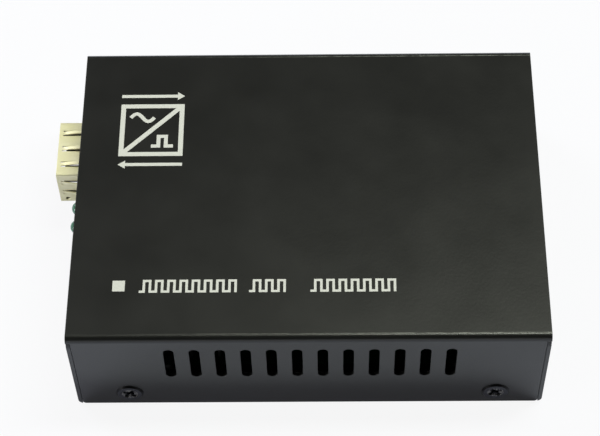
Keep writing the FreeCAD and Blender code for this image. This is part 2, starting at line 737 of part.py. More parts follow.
def make_cage_cover():
    """Top, sides and rear of the cage, with bowed spring fingers behind its mouth and pins below."""
    body = new_body("sfp_cage_cover")
    half = "(cage_width / 2)"
    fold = "(cage_bend + cage_sheet)"
    section = new_sketch(body, "YZ", ("0", "0", CAGE_MOUTH))
    left, right = f"({CAGE_Y} - {half})", f"({CAGE_Y} + {half})"
    in_left, in_right = f"({left} + cage_sheet)", f"({right} - cage_sheet)"
    trace(section, [
        (left, BOARD_TOP), (in_left, BOARD_TOP), (in_left, f"({CAGE_TOP} - cage_sheet)", "cage_bend"),
        (in_right, f"({CAGE_TOP} - cage_sheet)", "cage_bend"), (in_right, BOARD_TOP), (right, BOARD_TOP),
        (right, CAGE_TOP, fold), (left, CAGE_TOP, fold),
    ])
    grow(body, section, "cage_length", both=False)
    rear = new_sketch(body, "YZ", ("0", "0", CAGE_REAR))
    trace(rear, box_outline(left, right, BOARD_TOP, f"{CAGE_TOP} - {fold}"))
    grow(body, rear, "cage_sheet", both=False)
    rear_top = new_sketch(body, "YZ", ("0", "0", CAGE_REAR))
    trace(rear_top, box_outline(f"{left} + {fold}", f"{right} - {fold}", f"{CAGE_TOP} - {fold}", CAGE_TOP))
    grow(body, rear_top, "cage_sheet", both=False)

    top_fingers = [f"({CAGE_Y} + {step} * finger_spacing)" for step in (-1, 0, 1)]
    roof = new_sketch(body, "XY", ("0", "0", CAGE_TOP))
    for across in top_fingers:
        trace(roof, finger_opening(across))
    cut(body, roof, "3 * cage_sheet")
    for across in top_fingers:
        bowed_finger(body, "XZ", ("0", "0", f"-{across}"), CAGE_TOP, 1)

    side_fingers = [
        f"({CAGE_TOP} - side_finger_drop - {step} * side_finger_spacing)" for step in (0, 1)]
    sides = new_sketch(body, "XZ", ("0", "0", f"-{CAGE_Y}"))
    for level in side_fingers:
        trace(sides, finger_opening(level))
    cut(body, sides, "cage_width + cage_sheet")
    for side in (-1, 1):
        wall = f"({CAGE_Y} + {side} * {half})"
        for level in side_fingers:
            bowed_finger(body, "XY", ("0", "0", level), wall, side)
    holes = new_sketch(body, "XZ", ("0", "0", f"-{CAGE_Y}"))
    ring(holes, f"{CAGE_MOUTH} + finger_hole_inset", f"{BOARD_TOP} + finger_hole_level", "finger_hole")
    cut(body, holes, "cage_width + 2 * finger_bow")

    for side in (-1, 1):
        legs = new_sketch(body, "XZ", ("0", "0", f"-({CAGE_Y} + {side} * ({half} - cage_sheet / 2))"))
        first = f"({CAGE_REAR} - cage_pin_width - cage_pin_spacing * (cage_pin_count - 1))"
        trace(legs, centred(first, "cage_pin_width", PIN_END, f"{BOARD_TOP} + cage_sheet"))
        repeat(body, grow(body, legs, "cage_sheet"), "X", "cage_pin_count", "cage_pin_spacing")
    return body


def make_cage_base():
    """Floor of the cage, with the latch tongue for the module; it stops before the connector."""
    body = new_body("sfp_cage_base")
    half = "(cage_width / 2 - cage_sheet - cage_gap)"
    plate = new_sketch(body, "XY", ("0", "0", BOARD_TOP))
    trace(plate, box_outline(
        f"{CAGE_MOUTH} + cage_sheet", f"{EDGE_FRONT} - 2 * cage_sheet",
        f"{CAGE_Y} - {half}", f"{CAGE_Y} + {half}"))
    grow(body, plate, "cage_sheet", both=False)
    slits = new_sketch(body, "XY", ("0", "0", BOARD_TOP))
    for side in (-1, 1):
        trace(slits, centred_across(
            f"{CAGE_Y} + {side} * (latch_width + latch_slit) / 2", "latch_slit",
            f"{CAGE_MOUTH} - cage_sheet", f"{CAGE_MOUTH} + latch_length"))
    point = f"{CAGE_MOUTH} + latch_hole_inset"
    trace(slits, [
        (point, CAGE_Y), (f"{point} + latch_hole", f"{CAGE_Y} - latch_hole / 2"),
        (f"{point} + latch_hole", f"{CAGE_Y} + latch_hole / 2"),
    ])
    cut(body, slits)
    return body


def centred_across(middle, width, low, high):
    """A box outline centred on the sketch's upward axis."""
    return box_outline(low, high, f"{middle} - ({width}) / 2", f"{middle} + ({width}) / 2")


def make_edge_connector():
    """Card-edge connector at the back of the cage. The upper contacts leave it at the rear and the
    lower ones at the front, each row through one window of the housing."""
    thick = "edge_contact_sheet"
    top = f"({EDGE_SLOT_MID} + edge_slot_height / 2)"
    low = f"({EDGE_SLOT_MID} - edge_slot_height / 2)"
    floor = f"({EDGE_FRONT} + edge_slot_depth)"
    tip = f"({floor} - edge_contact_reach)"
    tail = f"({EDGE_REAR} + {thick})"
    toe = f"({tail} + edge_contact_foot)"
    upper = [
        (tip, f"{top} - {thick}"), (tail, f"{top} - {thick}"), (tail, BOARD_TOP), (toe, BOARD_TOP),
        (toe, f"{BOARD_TOP} + {thick}"), (f"{tail} + {thick}", f"{BOARD_TOP} + {thick}"),
        (f"{tail} + {thick}", top), (tip, top),
    ]
    stem = f"({EDGE_FRONT} + edge_contact_foot)"
    lower = [
        (tip, f"{low} + {thick}"), (tip, low), (stem, low), (stem, BOARD_TOP),
        (f"{stem} + {thick}", BOARD_TOP), (f"{stem} + {thick}", f"{low} - {thick}"),
        (floor, f"{low} - {thick}"), (floor, f"{low} + {thick}"),
    ]
    span = "edge_contact_spacing * (edge_contact_count - 1)"
    contacts = new_body("sfp_contacts")
    body = new_body("sfp_connector")
    block = new_sketch(body, "YZ", ("0", "0", EDGE_FRONT))
    trace(block, centred(CAGE_Y, "edge_width", BOARD_TOP, f"{BOARD_TOP} + edge_height"))
    grow(body, block, "edge_length", both=False)
    slot = new_sketch(body, "YZ", ("0", "0", EDGE_FRONT))
    trace(slot, centred(CAGE_Y, "edge_slot_width", low, top))
    cut(body, slot, "2 * edge_slot_depth")
    for outline in (upper, lower):
        contact = new_sketch(contacts, "XZ", ("0", "0", f"-({CAGE_Y} - {span} / 2)"))
        trace(contact, outline)
        repeat(contacts, grow(contacts, contact, "edge_contact_width"), "Y",
               "edge_contact_count", "edge_contact_spacing")
        window = new_sketch(body, "XZ", ("0", "0", f"-{CAGE_Y}"))
        trace(window, outline)
        cut(body, window, f"{span} + edge_contact_width")


# ---- RJ45 jack ----

def plug_outline():
    """Mouth of the jack: the plug's body with the slot for its latch below."""
    side = "plug_width / 2"
    latch = "plug_latch_width / 2"
    floor = f"({PLUG_FLOOR} - plug_latch_drop)"
    middle = JACK_Y
    return [
        (f"{middle} - {side}", PLUG_FLOOR), (f"{middle} - {latch}", PLUG_FLOOR),
        (f"{middle} - {latch}", floor), (f"{middle} + {latch}", floor),
        (f"{middle} + {latch}", PLUG_FLOOR), (f"{middle} + {side}", PLUG_FLOOR),
        (f"{middle} + {side}", PLUG_CEILING), (f"{middle} - {side}", PLUG_CEILING),
    ]


def make_jack():
    """Housing, eight spring wires through one window of it, and the folded shield."""
    contacts = new_body("rj45_contacts")
    wire = "jack_contact_sheet"
    rear = f"({JACK_REAR} - 2 * {wire})"
    fold = f"({JACK_FRONT} + jack_contact_inset)"
    reach = f"({fold} + jack_contact_reach)"
    tip = f"({PLUG_CEILING} - jack_contact_drop)"
    span = "jack_contact_spacing * (jack_contact_count - 1)"
    outline = [
        (rear, PIN_END), (f"{rear} + {wire}", PIN_END), (f"{rear} + {wire}", f"{PLUG_CEILING} + {wire}"),
        (fold, f"{PLUG_CEILING} + {wire}"), (fold, f"{PLUG_CEILING} - {wire}"), (reach, f"{tip} - {wire}"),
        (reach, tip), (f"{fold} + 2 * {wire}", PLUG_CEILING), (rear, PLUG_CEILING),
    ]
    contact = new_sketch(contacts, "XZ", ("0", "0", f"-({JACK_Y} - {span} / 2)"))
    trace(contact, outline)
    repeat(contacts, grow(contacts, contact, "jack_contact_width"), "Y",
           "jack_contact_count", "jack_contact_spacing")

    body = new_body("rj45_housing")
    inset = "(rj45_sheet + rj45_gap)"
    block = new_sketch(body, "YZ", ("0", "0", JACK_FRONT))
    trace(block, centred(
        JACK_Y, f"rj45_width - 2 * {inset}", BOARD_TOP, f"{BOARD_TOP} + rj45_height - {inset}"))
    grow(body, block, f"rj45_length - 2 * {inset}", both=False)
    cavity = new_sketch(body, "YZ", ("0", "0", JACK_FRONT))
    trace(cavity, plug_outline())
    cut(body, cavity, "2 * plug_depth")
    window = new_sketch(body, "XZ", ("0", "0", f"-{JACK_Y}"))
    trace(window, outline)
    cut(body, window, f"{span} + jack_contact_width")

    shield = new_body("rj45_shield")
    half = "(rj45_width / 2)"
    left, right = f"({JACK_Y} - {half})", f"({JACK_Y} + {half})"
    top = f"({BOARD_TOP} + rj45_height)"
    shell = new_sketch(shield, "YZ", ("0", "0", PORT_FACE))
    trace(shell, box_outline(left, right, BOARD_TOP, top))
    grow(shield, shell, "rj45_length", both=False)
    hollow = new_sketch(shield, "XZ", ("0", "0", f"-{JACK_Y}"))
    trace(hollow, box_outline(
        f"{PORT_FACE} + rj45_sheet", f"{PORT_FACE} + rj45_length - rj45_sheet",
        f"{BOARD_TOP} - rj45_sheet", f"{top} - rj45_sheet"))
    cut(shield, hollow, "rj45_width - 2 * rj45_sheet")
    mouth = new_sketch(shield, "YZ", ("0", "0", PORT_FACE))
    trace(mouth, plug_outline())
    cut(shield, mouth, "4 * rj45_sheet")
    for side in (-1, 1):
        leg = new_sketch(shield, "XZ", ("0", "0", f"-({JACK_Y} + {side} * ({half} - rj45_sheet / 2))"))
        trace(leg, centred(f"{PORT_FACE} + jack_leg_inset", "jack_leg_width", PIN_END,
                           f"{BOARD_TOP} + rj45_sheet"))
        grow(shield, leg, "rj45_sheet")
    return contacts, shield


# ---- indicator LEDs ----

def make_leds():
    """Two domed LEDs held in one black block, their leads bent down behind it."""
    leads = new_body("led_leads")
    radius = "(led_width / 2)"
    drop = f"({LED_BLOCK_REAR} + led_lead)"
    for label, across in zip(("led_near", "led_far"), LED_PLACES):
        body = new_body(label)
        half = new_sketch(body, "XZ", ("0", "led_level", f"-{across}"))
        trace(half, [
            (LED_TIP, "0"), (LED_BACK, "0"), (LED_BACK, radius), (f"{LED_TIP} + {radius}", radius),
            Arc(f"{LED_TIP} + {radius}", "0", 1),
        ])
        turn(body, half, axis="H_Axis")
        for side in (-1, 1):
            lead = new_sketch(leads, "XZ", ("0", "0", f"-({across} + {side} * led_lead_spacing / 2)"))
            trace(lead, [
                (LED_BACK, "led_level - led_lead / 2"), (drop, "led_level - led_lead / 2"), (drop, PIN_END),
                (f"{drop} + led_lead", PIN_END), (f"{drop} + led_lead", "led_level + led_lead / 2"),
                (LED_BACK, "led_level + led_lead / 2"),
            ])
            grow(leads, lead, "led_lead")

    body = new_body("led_block")
    block = new_sketch(body, "YZ", ("0", "0", LED_BLOCK_FRONT))
    trace(block, centred("led_shift", "led_block_width", BOARD_TOP, "led_level + led_block_above"))
    grow(body, block, "led_block_length", both=False)
    bores = new_sketch(body, "YZ", ("0", "0", LED_BLOCK_FRONT))
    for across in LED_PLACES:
        ring(bores, across, "led_level", "led_width")
    cut(body, bores)
    return leads


# ---- DC inlet ----

def make_inlet():
    """Barrel jack: moulded body, centre pin with its tang down the back, and the spring blade that
    touches the plug's sleeve."""
    pin = new_body("dc_inlet_pin")
    floor = f"({INLET_FACE} - inlet_bore_depth)"
    half = new_sketch(pin, "XZ", ("0", INLET_AXIS, f"-{INLET_Y}"))
    tip = f"({floor} + inlet_pin_length)"
    trace(half, [(floor, "0"), (tip, "0"), (tip, "inlet_pin / 2"), (floor, "inlet_pin / 2")])
    turn(pin, half, axis="H_Axis")
    tang = new_sketch(pin, "XZ", ("0", "0", f"-{INLET_Y}"))
    upper, lower = f"({INLET_AXIS} + inlet_tang_sheet / 2)", f"({INLET_AXIS} - inlet_tang_sheet / 2)"
    outside = f"({INLET_REAR} - inlet_tang_sheet)"
    trace(tang, [
        (floor, upper), (outside, upper), (outside, PIN_END), (INLET_REAR, PIN_END),
        (INLET_REAR, lower), (floor, lower),
    ])
    grow(pin, tang, "inlet_tang_width")

    blade = new_body("dc_inlet_blade")
    side = new_sketch(blade, "XZ", ("0", "0", f"-{INLET_Y}"))
    wall = f"({INLET_AXIS} - inlet_bore / 2)"
    thick = "inlet_blade_sheet"
    stem = f"({floor} + 2 * {thick})"
    crest = f"({floor} + inlet_blade_crest)"
    end = f"({INLET_FACE} - 4 * {thick})"
    trace(side, [
        (stem, PIN_END), (f"{stem} + {thick}", PIN_END), (f"{stem} + {thick}", wall),
        (crest, f"{wall} + 2 * {thick}"), (end, wall), (end, f"{wall} + {thick}"),
        (crest, f"{wall} + 3 * {thick}"), (stem, f"{wall} + {thick}"),
    ])
    grow(blade, side, "inlet_blade_width")

    body = new_body("dc_inlet_block", is_node=False)
    block = new_sketch(body, "YZ", ("0", "0", INLET_REAR))
    trace(block, centred(INLET_Y, "inlet_width", BOARD_TOP, f"{BOARD_TOP} + inlet_height"))
    grow(body, block, "inlet_length", both=False)
    bore = new_sketch(body, "YZ", ("0", "0", INLET_FACE))
    ring(bore, INLET_Y, INLET_AXIS, "inlet_bore")
    cut(body, bore, "2 * inlet_bore_depth")
    join_or_cut("Part::Cut", "dc_inlet_housing", body, [pin, blade])
    return pin, blade


# ---- parts soldered flat on the board ----

def gull_wing(sketch, middle, body_width, mid_level):
    """Two mirrored lead profiles across a package, from its sides down to the board."""
    for sign in (-1, 1):
        edge = f"({middle} + {sign} * ({body_width}) / 2)"
        knee = f"({edge} + {sign} * lead_shoulder)"
        heel = f"({knee} - {sign} * lead_sheet)"
        toe = f"({knee} + {sign} * lead_foot)"
        trace(sketch, [
            (edge, f"{mid_level} + lead_sheet"), (edge, mid_level), (heel, mid_level), (heel, BOARD_TOP),
            (toe, BOARD_TOP),
            (toe, f"{BOARD_TOP} + lead_sheet"), (knee, f"{BOARD_TOP} + lead_sheet"),
            (knee, f"{mid_level} + lead_sheet"),
        ])


def package(label, middle, size, lift="lead_lift"):
    """A moulded package, just clear of the board where it stands on leads."""
    body = new_body(label)
    half_x, half_y = f"({size[0]}) / 2", f"({size[1]}) / 2"
    block = new_sketch(body, "XY", ("0", "0", f"{BOARD_TOP} + {lift}"))
    trace(block, box_outline(
        f"{middle[0]} - {half_x}", f"{middle[0]} + {half_x}",
        f"{middle[1]} - {half_y}", f"{middle[1]} + {half_y}"))
    grow(body, block, size[2], both=False)
    return body


def lead_row(label, middle, package_width, level, count, pitch):
    """Gull-wing leads along the two long sides of a package."""
    body = new_body(label)
    first = f"({middle[0]} - {pitch} * ({count} - 1) / 2)"
    sketch = new_sketch(body, "YZ", ("0", "0", first))
    gull_wing(sketch, middle[1], package_width, level)
    repeat(body, grow(body, sketch, "lead_width"), "X", count, pitch)


def make_chips():
    """Ethernet transformer and memory chip with their leads, and the flat leadless converter chip."""
    magnetics = ("magnetics_x", JACK_Y)
    package("magnetics", magnetics, ("magnetics_length", "magnetics_width", "magnetics_height"))
    lead_row("magnetics_leads", magnetics, "magnetics_width", f"({BOARD_TOP} + magnetics_height / 4)",
             "magnetics_lead_count", "magnetics_lead_spacing")
    memory = ("memory_x", "memory_y")
    package("memory_chip", memory, ("memory_length", "memory_width", "memory_height"))
    lead_row("memory_chip_leads", memory, "memory_width", f"({BOARD_TOP} + memory_height / 2)",
             "memory_lead_count", "memory_lead_spacing")
    package("converter_chip", ("chip_x", "chip_y"), ("chip_width", "chip_width", "chip_height"), "0")


def make_crystal():
    """Round-ended metal can."""
    body = new_body("crystal_can")
    sketch = new_sketch(body, "XY", ("0", "0", BOARD_TOP))
    straight = "((crystal_length - crystal_width) / 2)"
    low, high = "crystal_y - crystal_width / 2", "crystal_y + crystal_width / 2"
    left, right = f"crystal_x - {straight}", f"crystal_x + {straight}"
    trace(sketch, [
        (left, low), (right, low), Arc(right, "crystal_y", 1), (right, high), (left, high),
        Arc(left, "crystal_y", 1),
    ])
    grow(body, sketch, "crystal_height", both=False)


def make_regulator():
    """Power package lying on its metal tab."""
    tab = new_body("regulator_tab")
    plate = new_sketch(tab, "XY", ("0", "0", BOARD_TOP))
    half = "(regulator_width / 2)"
    low = "(regulator_x - regulator_length / 2)"
    high = "(regulator_x + regulator_length / 2)"
    trace(plate, centred_across("regulator_y", "regulator_tab_width", low, f"{high} + regulator_tab"))
    grow(tab, plate, "regulator_tab_sheet", both=False)
    for side in (-1, 1):
        pin = new_sketch(tab, "XZ", ("0", "0", f"-(regulator_y + {side} * regulator_spacing / 2)"))
        knee = f"({low} - lead_shoulder)"
        level = f"({BOARD_TOP} + regulator_height / 2)"
        trace(pin, [
            (low, level), (low, f"{level} + lead_sheet"), (knee, f"{level} + lead_sheet"),
            (knee, f"{BOARD_TOP} + lead_sheet"), (f"{knee} - lead_foot", f"{BOARD_TOP} + lead_sheet"),
            (f"{knee} - lead_foot", BOARD_TOP), (f"{knee} + lead_sheet", BOARD_TOP),
            (f"{knee} + lead_sheet", level),
        ])
        grow(tab, pin, "lead_width")
    body = new_body("regulator_body")
    block = new_sketch(body, "XY", ("0", "0", f"{BOARD_TOP} + regulator_tab_sheet"))
    trace(block, box_outline(low, high, f"regulator_y - {half}", f"regulator_y + {half}"))
    grow(body, block, "regulator_height - regulator_tab_sheet", both=False)


def make_inductor():
    """Shielded power inductor: a square core with cut corners."""
    body = new_body("power_inductor")
    base = new_sketch(body, "XY", ("0", "0", BOARD_TOP))
    half = "inductor_width / 2"
    short = f"({half} - inductor_corner)"
    corners = [(half, f"-{short}"), (half, short), (short, half), (f"-{short}", half)]
    trace(base, [
        (f"{INDUCTOR_X} + {sign} * ({across})", f"inductor_y + {sign} * ({along})")
        for sign in (1, -1) for across, along in corners
    ])
    grow(body, base, "inductor_height", both=False)


def make_capacitors():
    """Two upright electrolytic cans."""
    for step, label in enumerate(("input_capacitor", "output_capacitor")):
        body = new_body(label)
        foot = new_sketch(body, "XY", ("0", "0", BOARD_TOP))
        ring(foot, "capacitor_x", f"{INLET_Y} - {step} * capacitor_spacing", "capacitor_width")
        grow(body, foot, "capacitor_height", both=False)


def make_diode():
    """Input protection diode with two straps folded under it."""
    body = package("input_diode", (DIODE_X, "diode_y"), ("diode_length", "diode_width", "diode_height"))
    straps = new_body("input_diode_straps")
    side = new_sketch(straps, "XZ", ("0", "0", "-diode_y"))
    for sign in (-1, 1):
        edge = f"({DIODE_X} + {sign} * diode_length / 2)"
        outer = f"({edge} + {sign} * diode_strap)"
        inner = f"({edge} - {sign} * 2 * diode_strap)"
        trace(side, [
            (edge, f"{BOARD_TOP} + diode_height / 2"), (outer, f"{BOARD_TOP} + diode_height / 2"),
            (outer, BOARD_TOP), (inner, BOARD_TOP), (inner, f"{BOARD_TOP} + lead_lift"),
            (edge, f"{BOARD_TOP} + lead_lift"),
        ])
    grow(straps, side, "diode_width / 2")
    return body


def make_passives():
    """Small chip resistors and capacitors in rows beside the converter chip."""
    chip = doc.addObject("Part::Box", "chip_passive")
    for side in ("Length", "Width", "Height"):
        chip.setExpression(side, bound("passive_" + side.lower()))
    beside = "(chip_width / 2 + passive_spacing)"
    rows = (("chip_resistors", "+", 5), ("chip_capacitors", "-", 5))
    for label, sign, count in rows:
        row_y = f"chip_y {sign} ({beside} + passive_width) - passive_width / 2"
        places = [
            (f"chip_x + ({step} - {(count - 1) / 2}) * passive_spacing - passive_length / 2", row_y,
             BOARD_TOP, Rotation()) for step in range(count)
        ]
        group(label, chip, places)


# ---- build, check and write ----

make_cover()
make_base()
make_cover_screws()
make_standoffs()
make_board_screws()
cage = make_cage_cover()
make_cage_base()
make_edge_connector()
jack_contacts, jack_shield = make_jack()
led_leads = make_leds()
inlet_pin, inlet_blade = make_inlet()
make_board([cage, jack_contacts, jack_shield, led_leads, inlet_pin, inlet_blade])
make_chips()
make_crystal()
make_regulator()
make_inductor()
make_capacitors()
make_diode()
make_passives()
doc.recompute()

faults = []
for item in doc.Objects:
    if any(word in item.State for word in ("Invalid", "Error")):
        faults.append(f"{item.Name}: {item.State}")
for piece in NODES:
    shape = piece.Shape
    if shape.isNull() or not shape.isValid() or not shape.Solids:
        faults.append(f"{piece.Label}: no valid solid")
if faults:
    raise RuntimeError("; ".join(faults))

os.makedirs("parts", exist_ok=True)
for piece in NODES:
    piece.Shape.exportStep(f"parts/{piece.Label}.step")
print(f"{len(NODES)} pieces written")
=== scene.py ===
import math

import bmesh
import bpy
from mathutils import Euler, Matrix, Vector


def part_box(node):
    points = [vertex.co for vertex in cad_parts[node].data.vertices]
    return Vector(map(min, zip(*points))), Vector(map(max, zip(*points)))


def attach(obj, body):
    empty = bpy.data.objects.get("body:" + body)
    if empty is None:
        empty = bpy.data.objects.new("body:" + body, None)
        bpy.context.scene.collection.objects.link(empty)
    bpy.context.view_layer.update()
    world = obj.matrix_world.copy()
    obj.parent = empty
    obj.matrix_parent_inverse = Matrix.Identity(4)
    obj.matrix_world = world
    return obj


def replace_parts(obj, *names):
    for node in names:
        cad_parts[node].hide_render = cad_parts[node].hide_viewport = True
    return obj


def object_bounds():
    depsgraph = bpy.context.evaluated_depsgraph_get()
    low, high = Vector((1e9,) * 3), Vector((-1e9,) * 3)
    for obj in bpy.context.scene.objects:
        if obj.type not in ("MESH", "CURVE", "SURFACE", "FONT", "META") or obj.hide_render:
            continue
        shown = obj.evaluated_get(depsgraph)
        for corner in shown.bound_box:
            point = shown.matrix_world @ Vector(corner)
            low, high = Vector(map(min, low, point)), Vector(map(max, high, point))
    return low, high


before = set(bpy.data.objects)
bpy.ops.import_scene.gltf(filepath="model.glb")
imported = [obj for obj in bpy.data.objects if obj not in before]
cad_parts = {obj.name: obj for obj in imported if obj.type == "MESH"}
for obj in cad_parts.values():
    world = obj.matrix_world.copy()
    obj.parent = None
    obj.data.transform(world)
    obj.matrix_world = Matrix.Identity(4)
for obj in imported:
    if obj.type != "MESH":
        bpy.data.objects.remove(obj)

cadLow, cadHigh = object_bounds()
scene = bpy.context.scene
mm = 0.001
print("frame loaded:", len(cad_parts), "nodes")


def hexColour(code):
    # sRGB hex to the linear values that a shader takes
    parts = [int(code[i:i + 2], 16) / 255 for i in (1, 3, 5)]
    return [c / 12.92 if c <= 0.04045 else ((c + 0.055) / 1.055) ** 2.4 for c in parts] + [1.0]


def feed(tree, node, inputs):
    # each input takes a plain value, a socket, or a node for its first output;
    # a Mix node's colours are its inputs 6 and 7 and its output 2
    for name, value in inputs.items():
        if isinstance(value, bpy.types.Node):
            value = value.outputs[0]
        if isinstance(value, bpy.types.NodeSocket):
            tree.links.new(value, node.inputs[name])
        else:
            node.inputs[name].default_value = value


def addNode(tree, kind, inputs=None, **settings):
    # the settings come first, because some of them change what inputs there are
    node = tree.nodes.new(kind)
    for name, value in settings.items():
        setattr(node, name, value)
    feed(tree, node, inputs or {})
    return node


def startFinish(name):
    # a material with its shader, and the place on the object that its patterns read
    material = bpy.data.materials.new(name)
    material.use_nodes = True
    tree = material.node_tree
    tree.nodes.clear()
    shader = addNode(tree, "ShaderNodeBsdfPrincipled")
    addNode(tree, "ShaderNodeOutputMaterial", {"Surface": shader})
    place = addNode(tree, "ShaderNodeTexCoord").outputs["Object"]
    return material, tree, shader, place


caseLook = {
    "dark": "#090a08",
    "light": "#0e0f0c",
    "gloss": (0.30, 0.36),    # roughness: satin
    "shine": 0.5,             # specular level
    "skin": 0.20,             # how much of the smoother resin skin lies on it
    "skinGloss": 0.13,
    "rim": 0.18 * mm,         # the coat rounds every sheared edge by about this
    "peel": 0.55 * mm,        # orange peel of the cured powder, drawn a little coarse so that it shows
    "peelDepth": 0.009 * mm,
    "mottle": 14 * mm,
    "rubbed": "#8d9088",      # a pale line along the top of each long bend: partly wear of the coat, partly a painted highlight
    "rubAndHighlightAt": 33.80 * mm,      # how far from the middle that line lies
    "rubAndHighlightWidth": 0.11 * mm,    # the line fades out this far to each side
    "rubAndHighlightTop": 25.2 * mm,      # and it stays above this level
    "rubAndHighlightFrom": (-37.2 * mm, 0.05),    # along the case, and how strong the line is there
    "rubAndHighlightTo": (23.5 * mm, 0.9),        # stronger at this end, where the painted highlight is brightest
    "rubAndHighlightPatch": 1.5 * mm,
}


def powderCoatedSteel():
    # sheet steel, satin black polyester powder: a soft sheen with orange peel, and a pale line along
    # the bends that is partly wear, partly a painted highlight
    material, tree, shader, place = startFinish("powderCoatedSteel")
    peel = addNode(tree, "ShaderNodeTexNoise", {
        "Vector": place, "Scale": 1 / caseLook["peel"], "Detail": 1.0, "Roughness": 0.55})
    mottle = addNode(tree, "ShaderNodeTexNoise", {
        "Vector": place, "Scale": 1 / caseLook["mottle"], "Detail": 3.0, "Roughness": 0.55})
    black = addNode(tree, "ShaderNodeMix", {
        0: mottle, 6: hexColour(caseLook["dark"]), 7: hexColour(caseLook["light"])}, data_type="RGBA")
    gloss = addNode(tree, "ShaderNodeMapRange", {
        "Value": mottle, "From Min": 0.25, "From Max": 0.75,
        "To Min": caseLook["gloss"][0], "To Max": caseLook["gloss"][1]})

    # the pale line on each bend: wear, and a painted highlight that grows towards the light
    spot = addNode(tree, "ShaderNodeSeparateXYZ", {"Vector": place})
    out = addNode(tree, "ShaderNodeMath", {0: spot.outputs["Y"]}, operation="ABSOLUTE")
    off = addNode(tree, "ShaderNodeMath", {0: out, 1: caseLook["rubAndHighlightAt"]}, operation="SUBTRACT")
    away = addNode(tree, "ShaderNodeMath", {0: off}, operation="ABSOLUTE")
    line = addNode(tree, "ShaderNodeMapRange", {
        "Value": away, "From Min": 0.0, "From Max": caseLook["rubAndHighlightWidth"],
        "To Min": 1.0, "To Max": 0.0})
    top = addNode(tree, "ShaderNodeMath", {0: spot.outputs["Z"], 1: caseLook["rubAndHighlightTop"]},
                  operation="GREATER_THAN")
    (start, least), (end, most) = caseLook["rubAndHighlightFrom"], caseLook["rubAndHighlightTo"]
    highlightTowardLight = addNode(tree, "ShaderNodeMapRange", {
        "Value": spot.outputs["X"], "From Min": start, "From Max": end,
        "To Min": least, "To Max": most})
    uneven = addNode(tree, "ShaderNodeTexNoise", {
        "Vector": place, "Scale": 1 / caseLook["rubAndHighlightPatch"], "Detail": 3.0})
    patches = addNode(tree, "ShaderNodeMapRange", {
        "Value": uneven, "From Min": 0.36, "From Max": 0.58, "To Min": 0.35, "To Max": 1.0})
    amount = addNode(tree, "ShaderNodeMath", {0: line, 1: top}, operation="MULTIPLY")
    amount = addNode(tree, "ShaderNodeMath", {0: amount, 1: highlightTowardLight}, operation="MULTIPLY")
    amount = addNode(tree, "ShaderNodeMath", {0: amount, 1: patches}, operation="MULTIPLY")
    colour = addNode(tree, "ShaderNodeMix", {
        0: amount, 6: black.outputs[2], 7: hexColour(caseLook["rubbed"])}, data_type="RGBA")

    rounded = addNode(tree, "ShaderNodeBevel", {"Radius": caseLook["rim"]}, samples=6)
    coat = addNode(tree, "ShaderNodeBump", {
        "Height": peel, "Distance": caseLook["peelDepth"], "Normal": rounded})
    feed(tree, shader, {
        "Base Color": colour.outputs[2], "Roughness": gloss, "Normal": coat, "IOR": 1.5,
        "Specular IOR Level": caseLook["shine"], "Coat Weight": caseLook["skin"],
        "Coat Roughness": caseLook["skinGloss"]})
    return material


screwLook = {
    "black": "#393a3f",
    "rimShade": "#060607",        # painted shade: the head's rim is drawn blackest, for the shadow in the gap round the head
    "worn": "#d6d5cf",
    "metal": 0.75,
    "gloss": (0.24, 0.38),
    "head": 5.6 * mm,         # across the head
    "face": 4.86 * mm,        # across the flat inside its rim
    "recess": 3.3 * mm,       # the cross lies inside this, in the middle of the head
    "wornDepth": 0.14 * mm,   # the driver rubs the cross bright at about this depth
    "wornReach": 0.2 * mm,    # and less and less, up to this far above and below it
    "scratch": 0.3 * mm,
    "scratchDepth": 0.004 * mm,
}


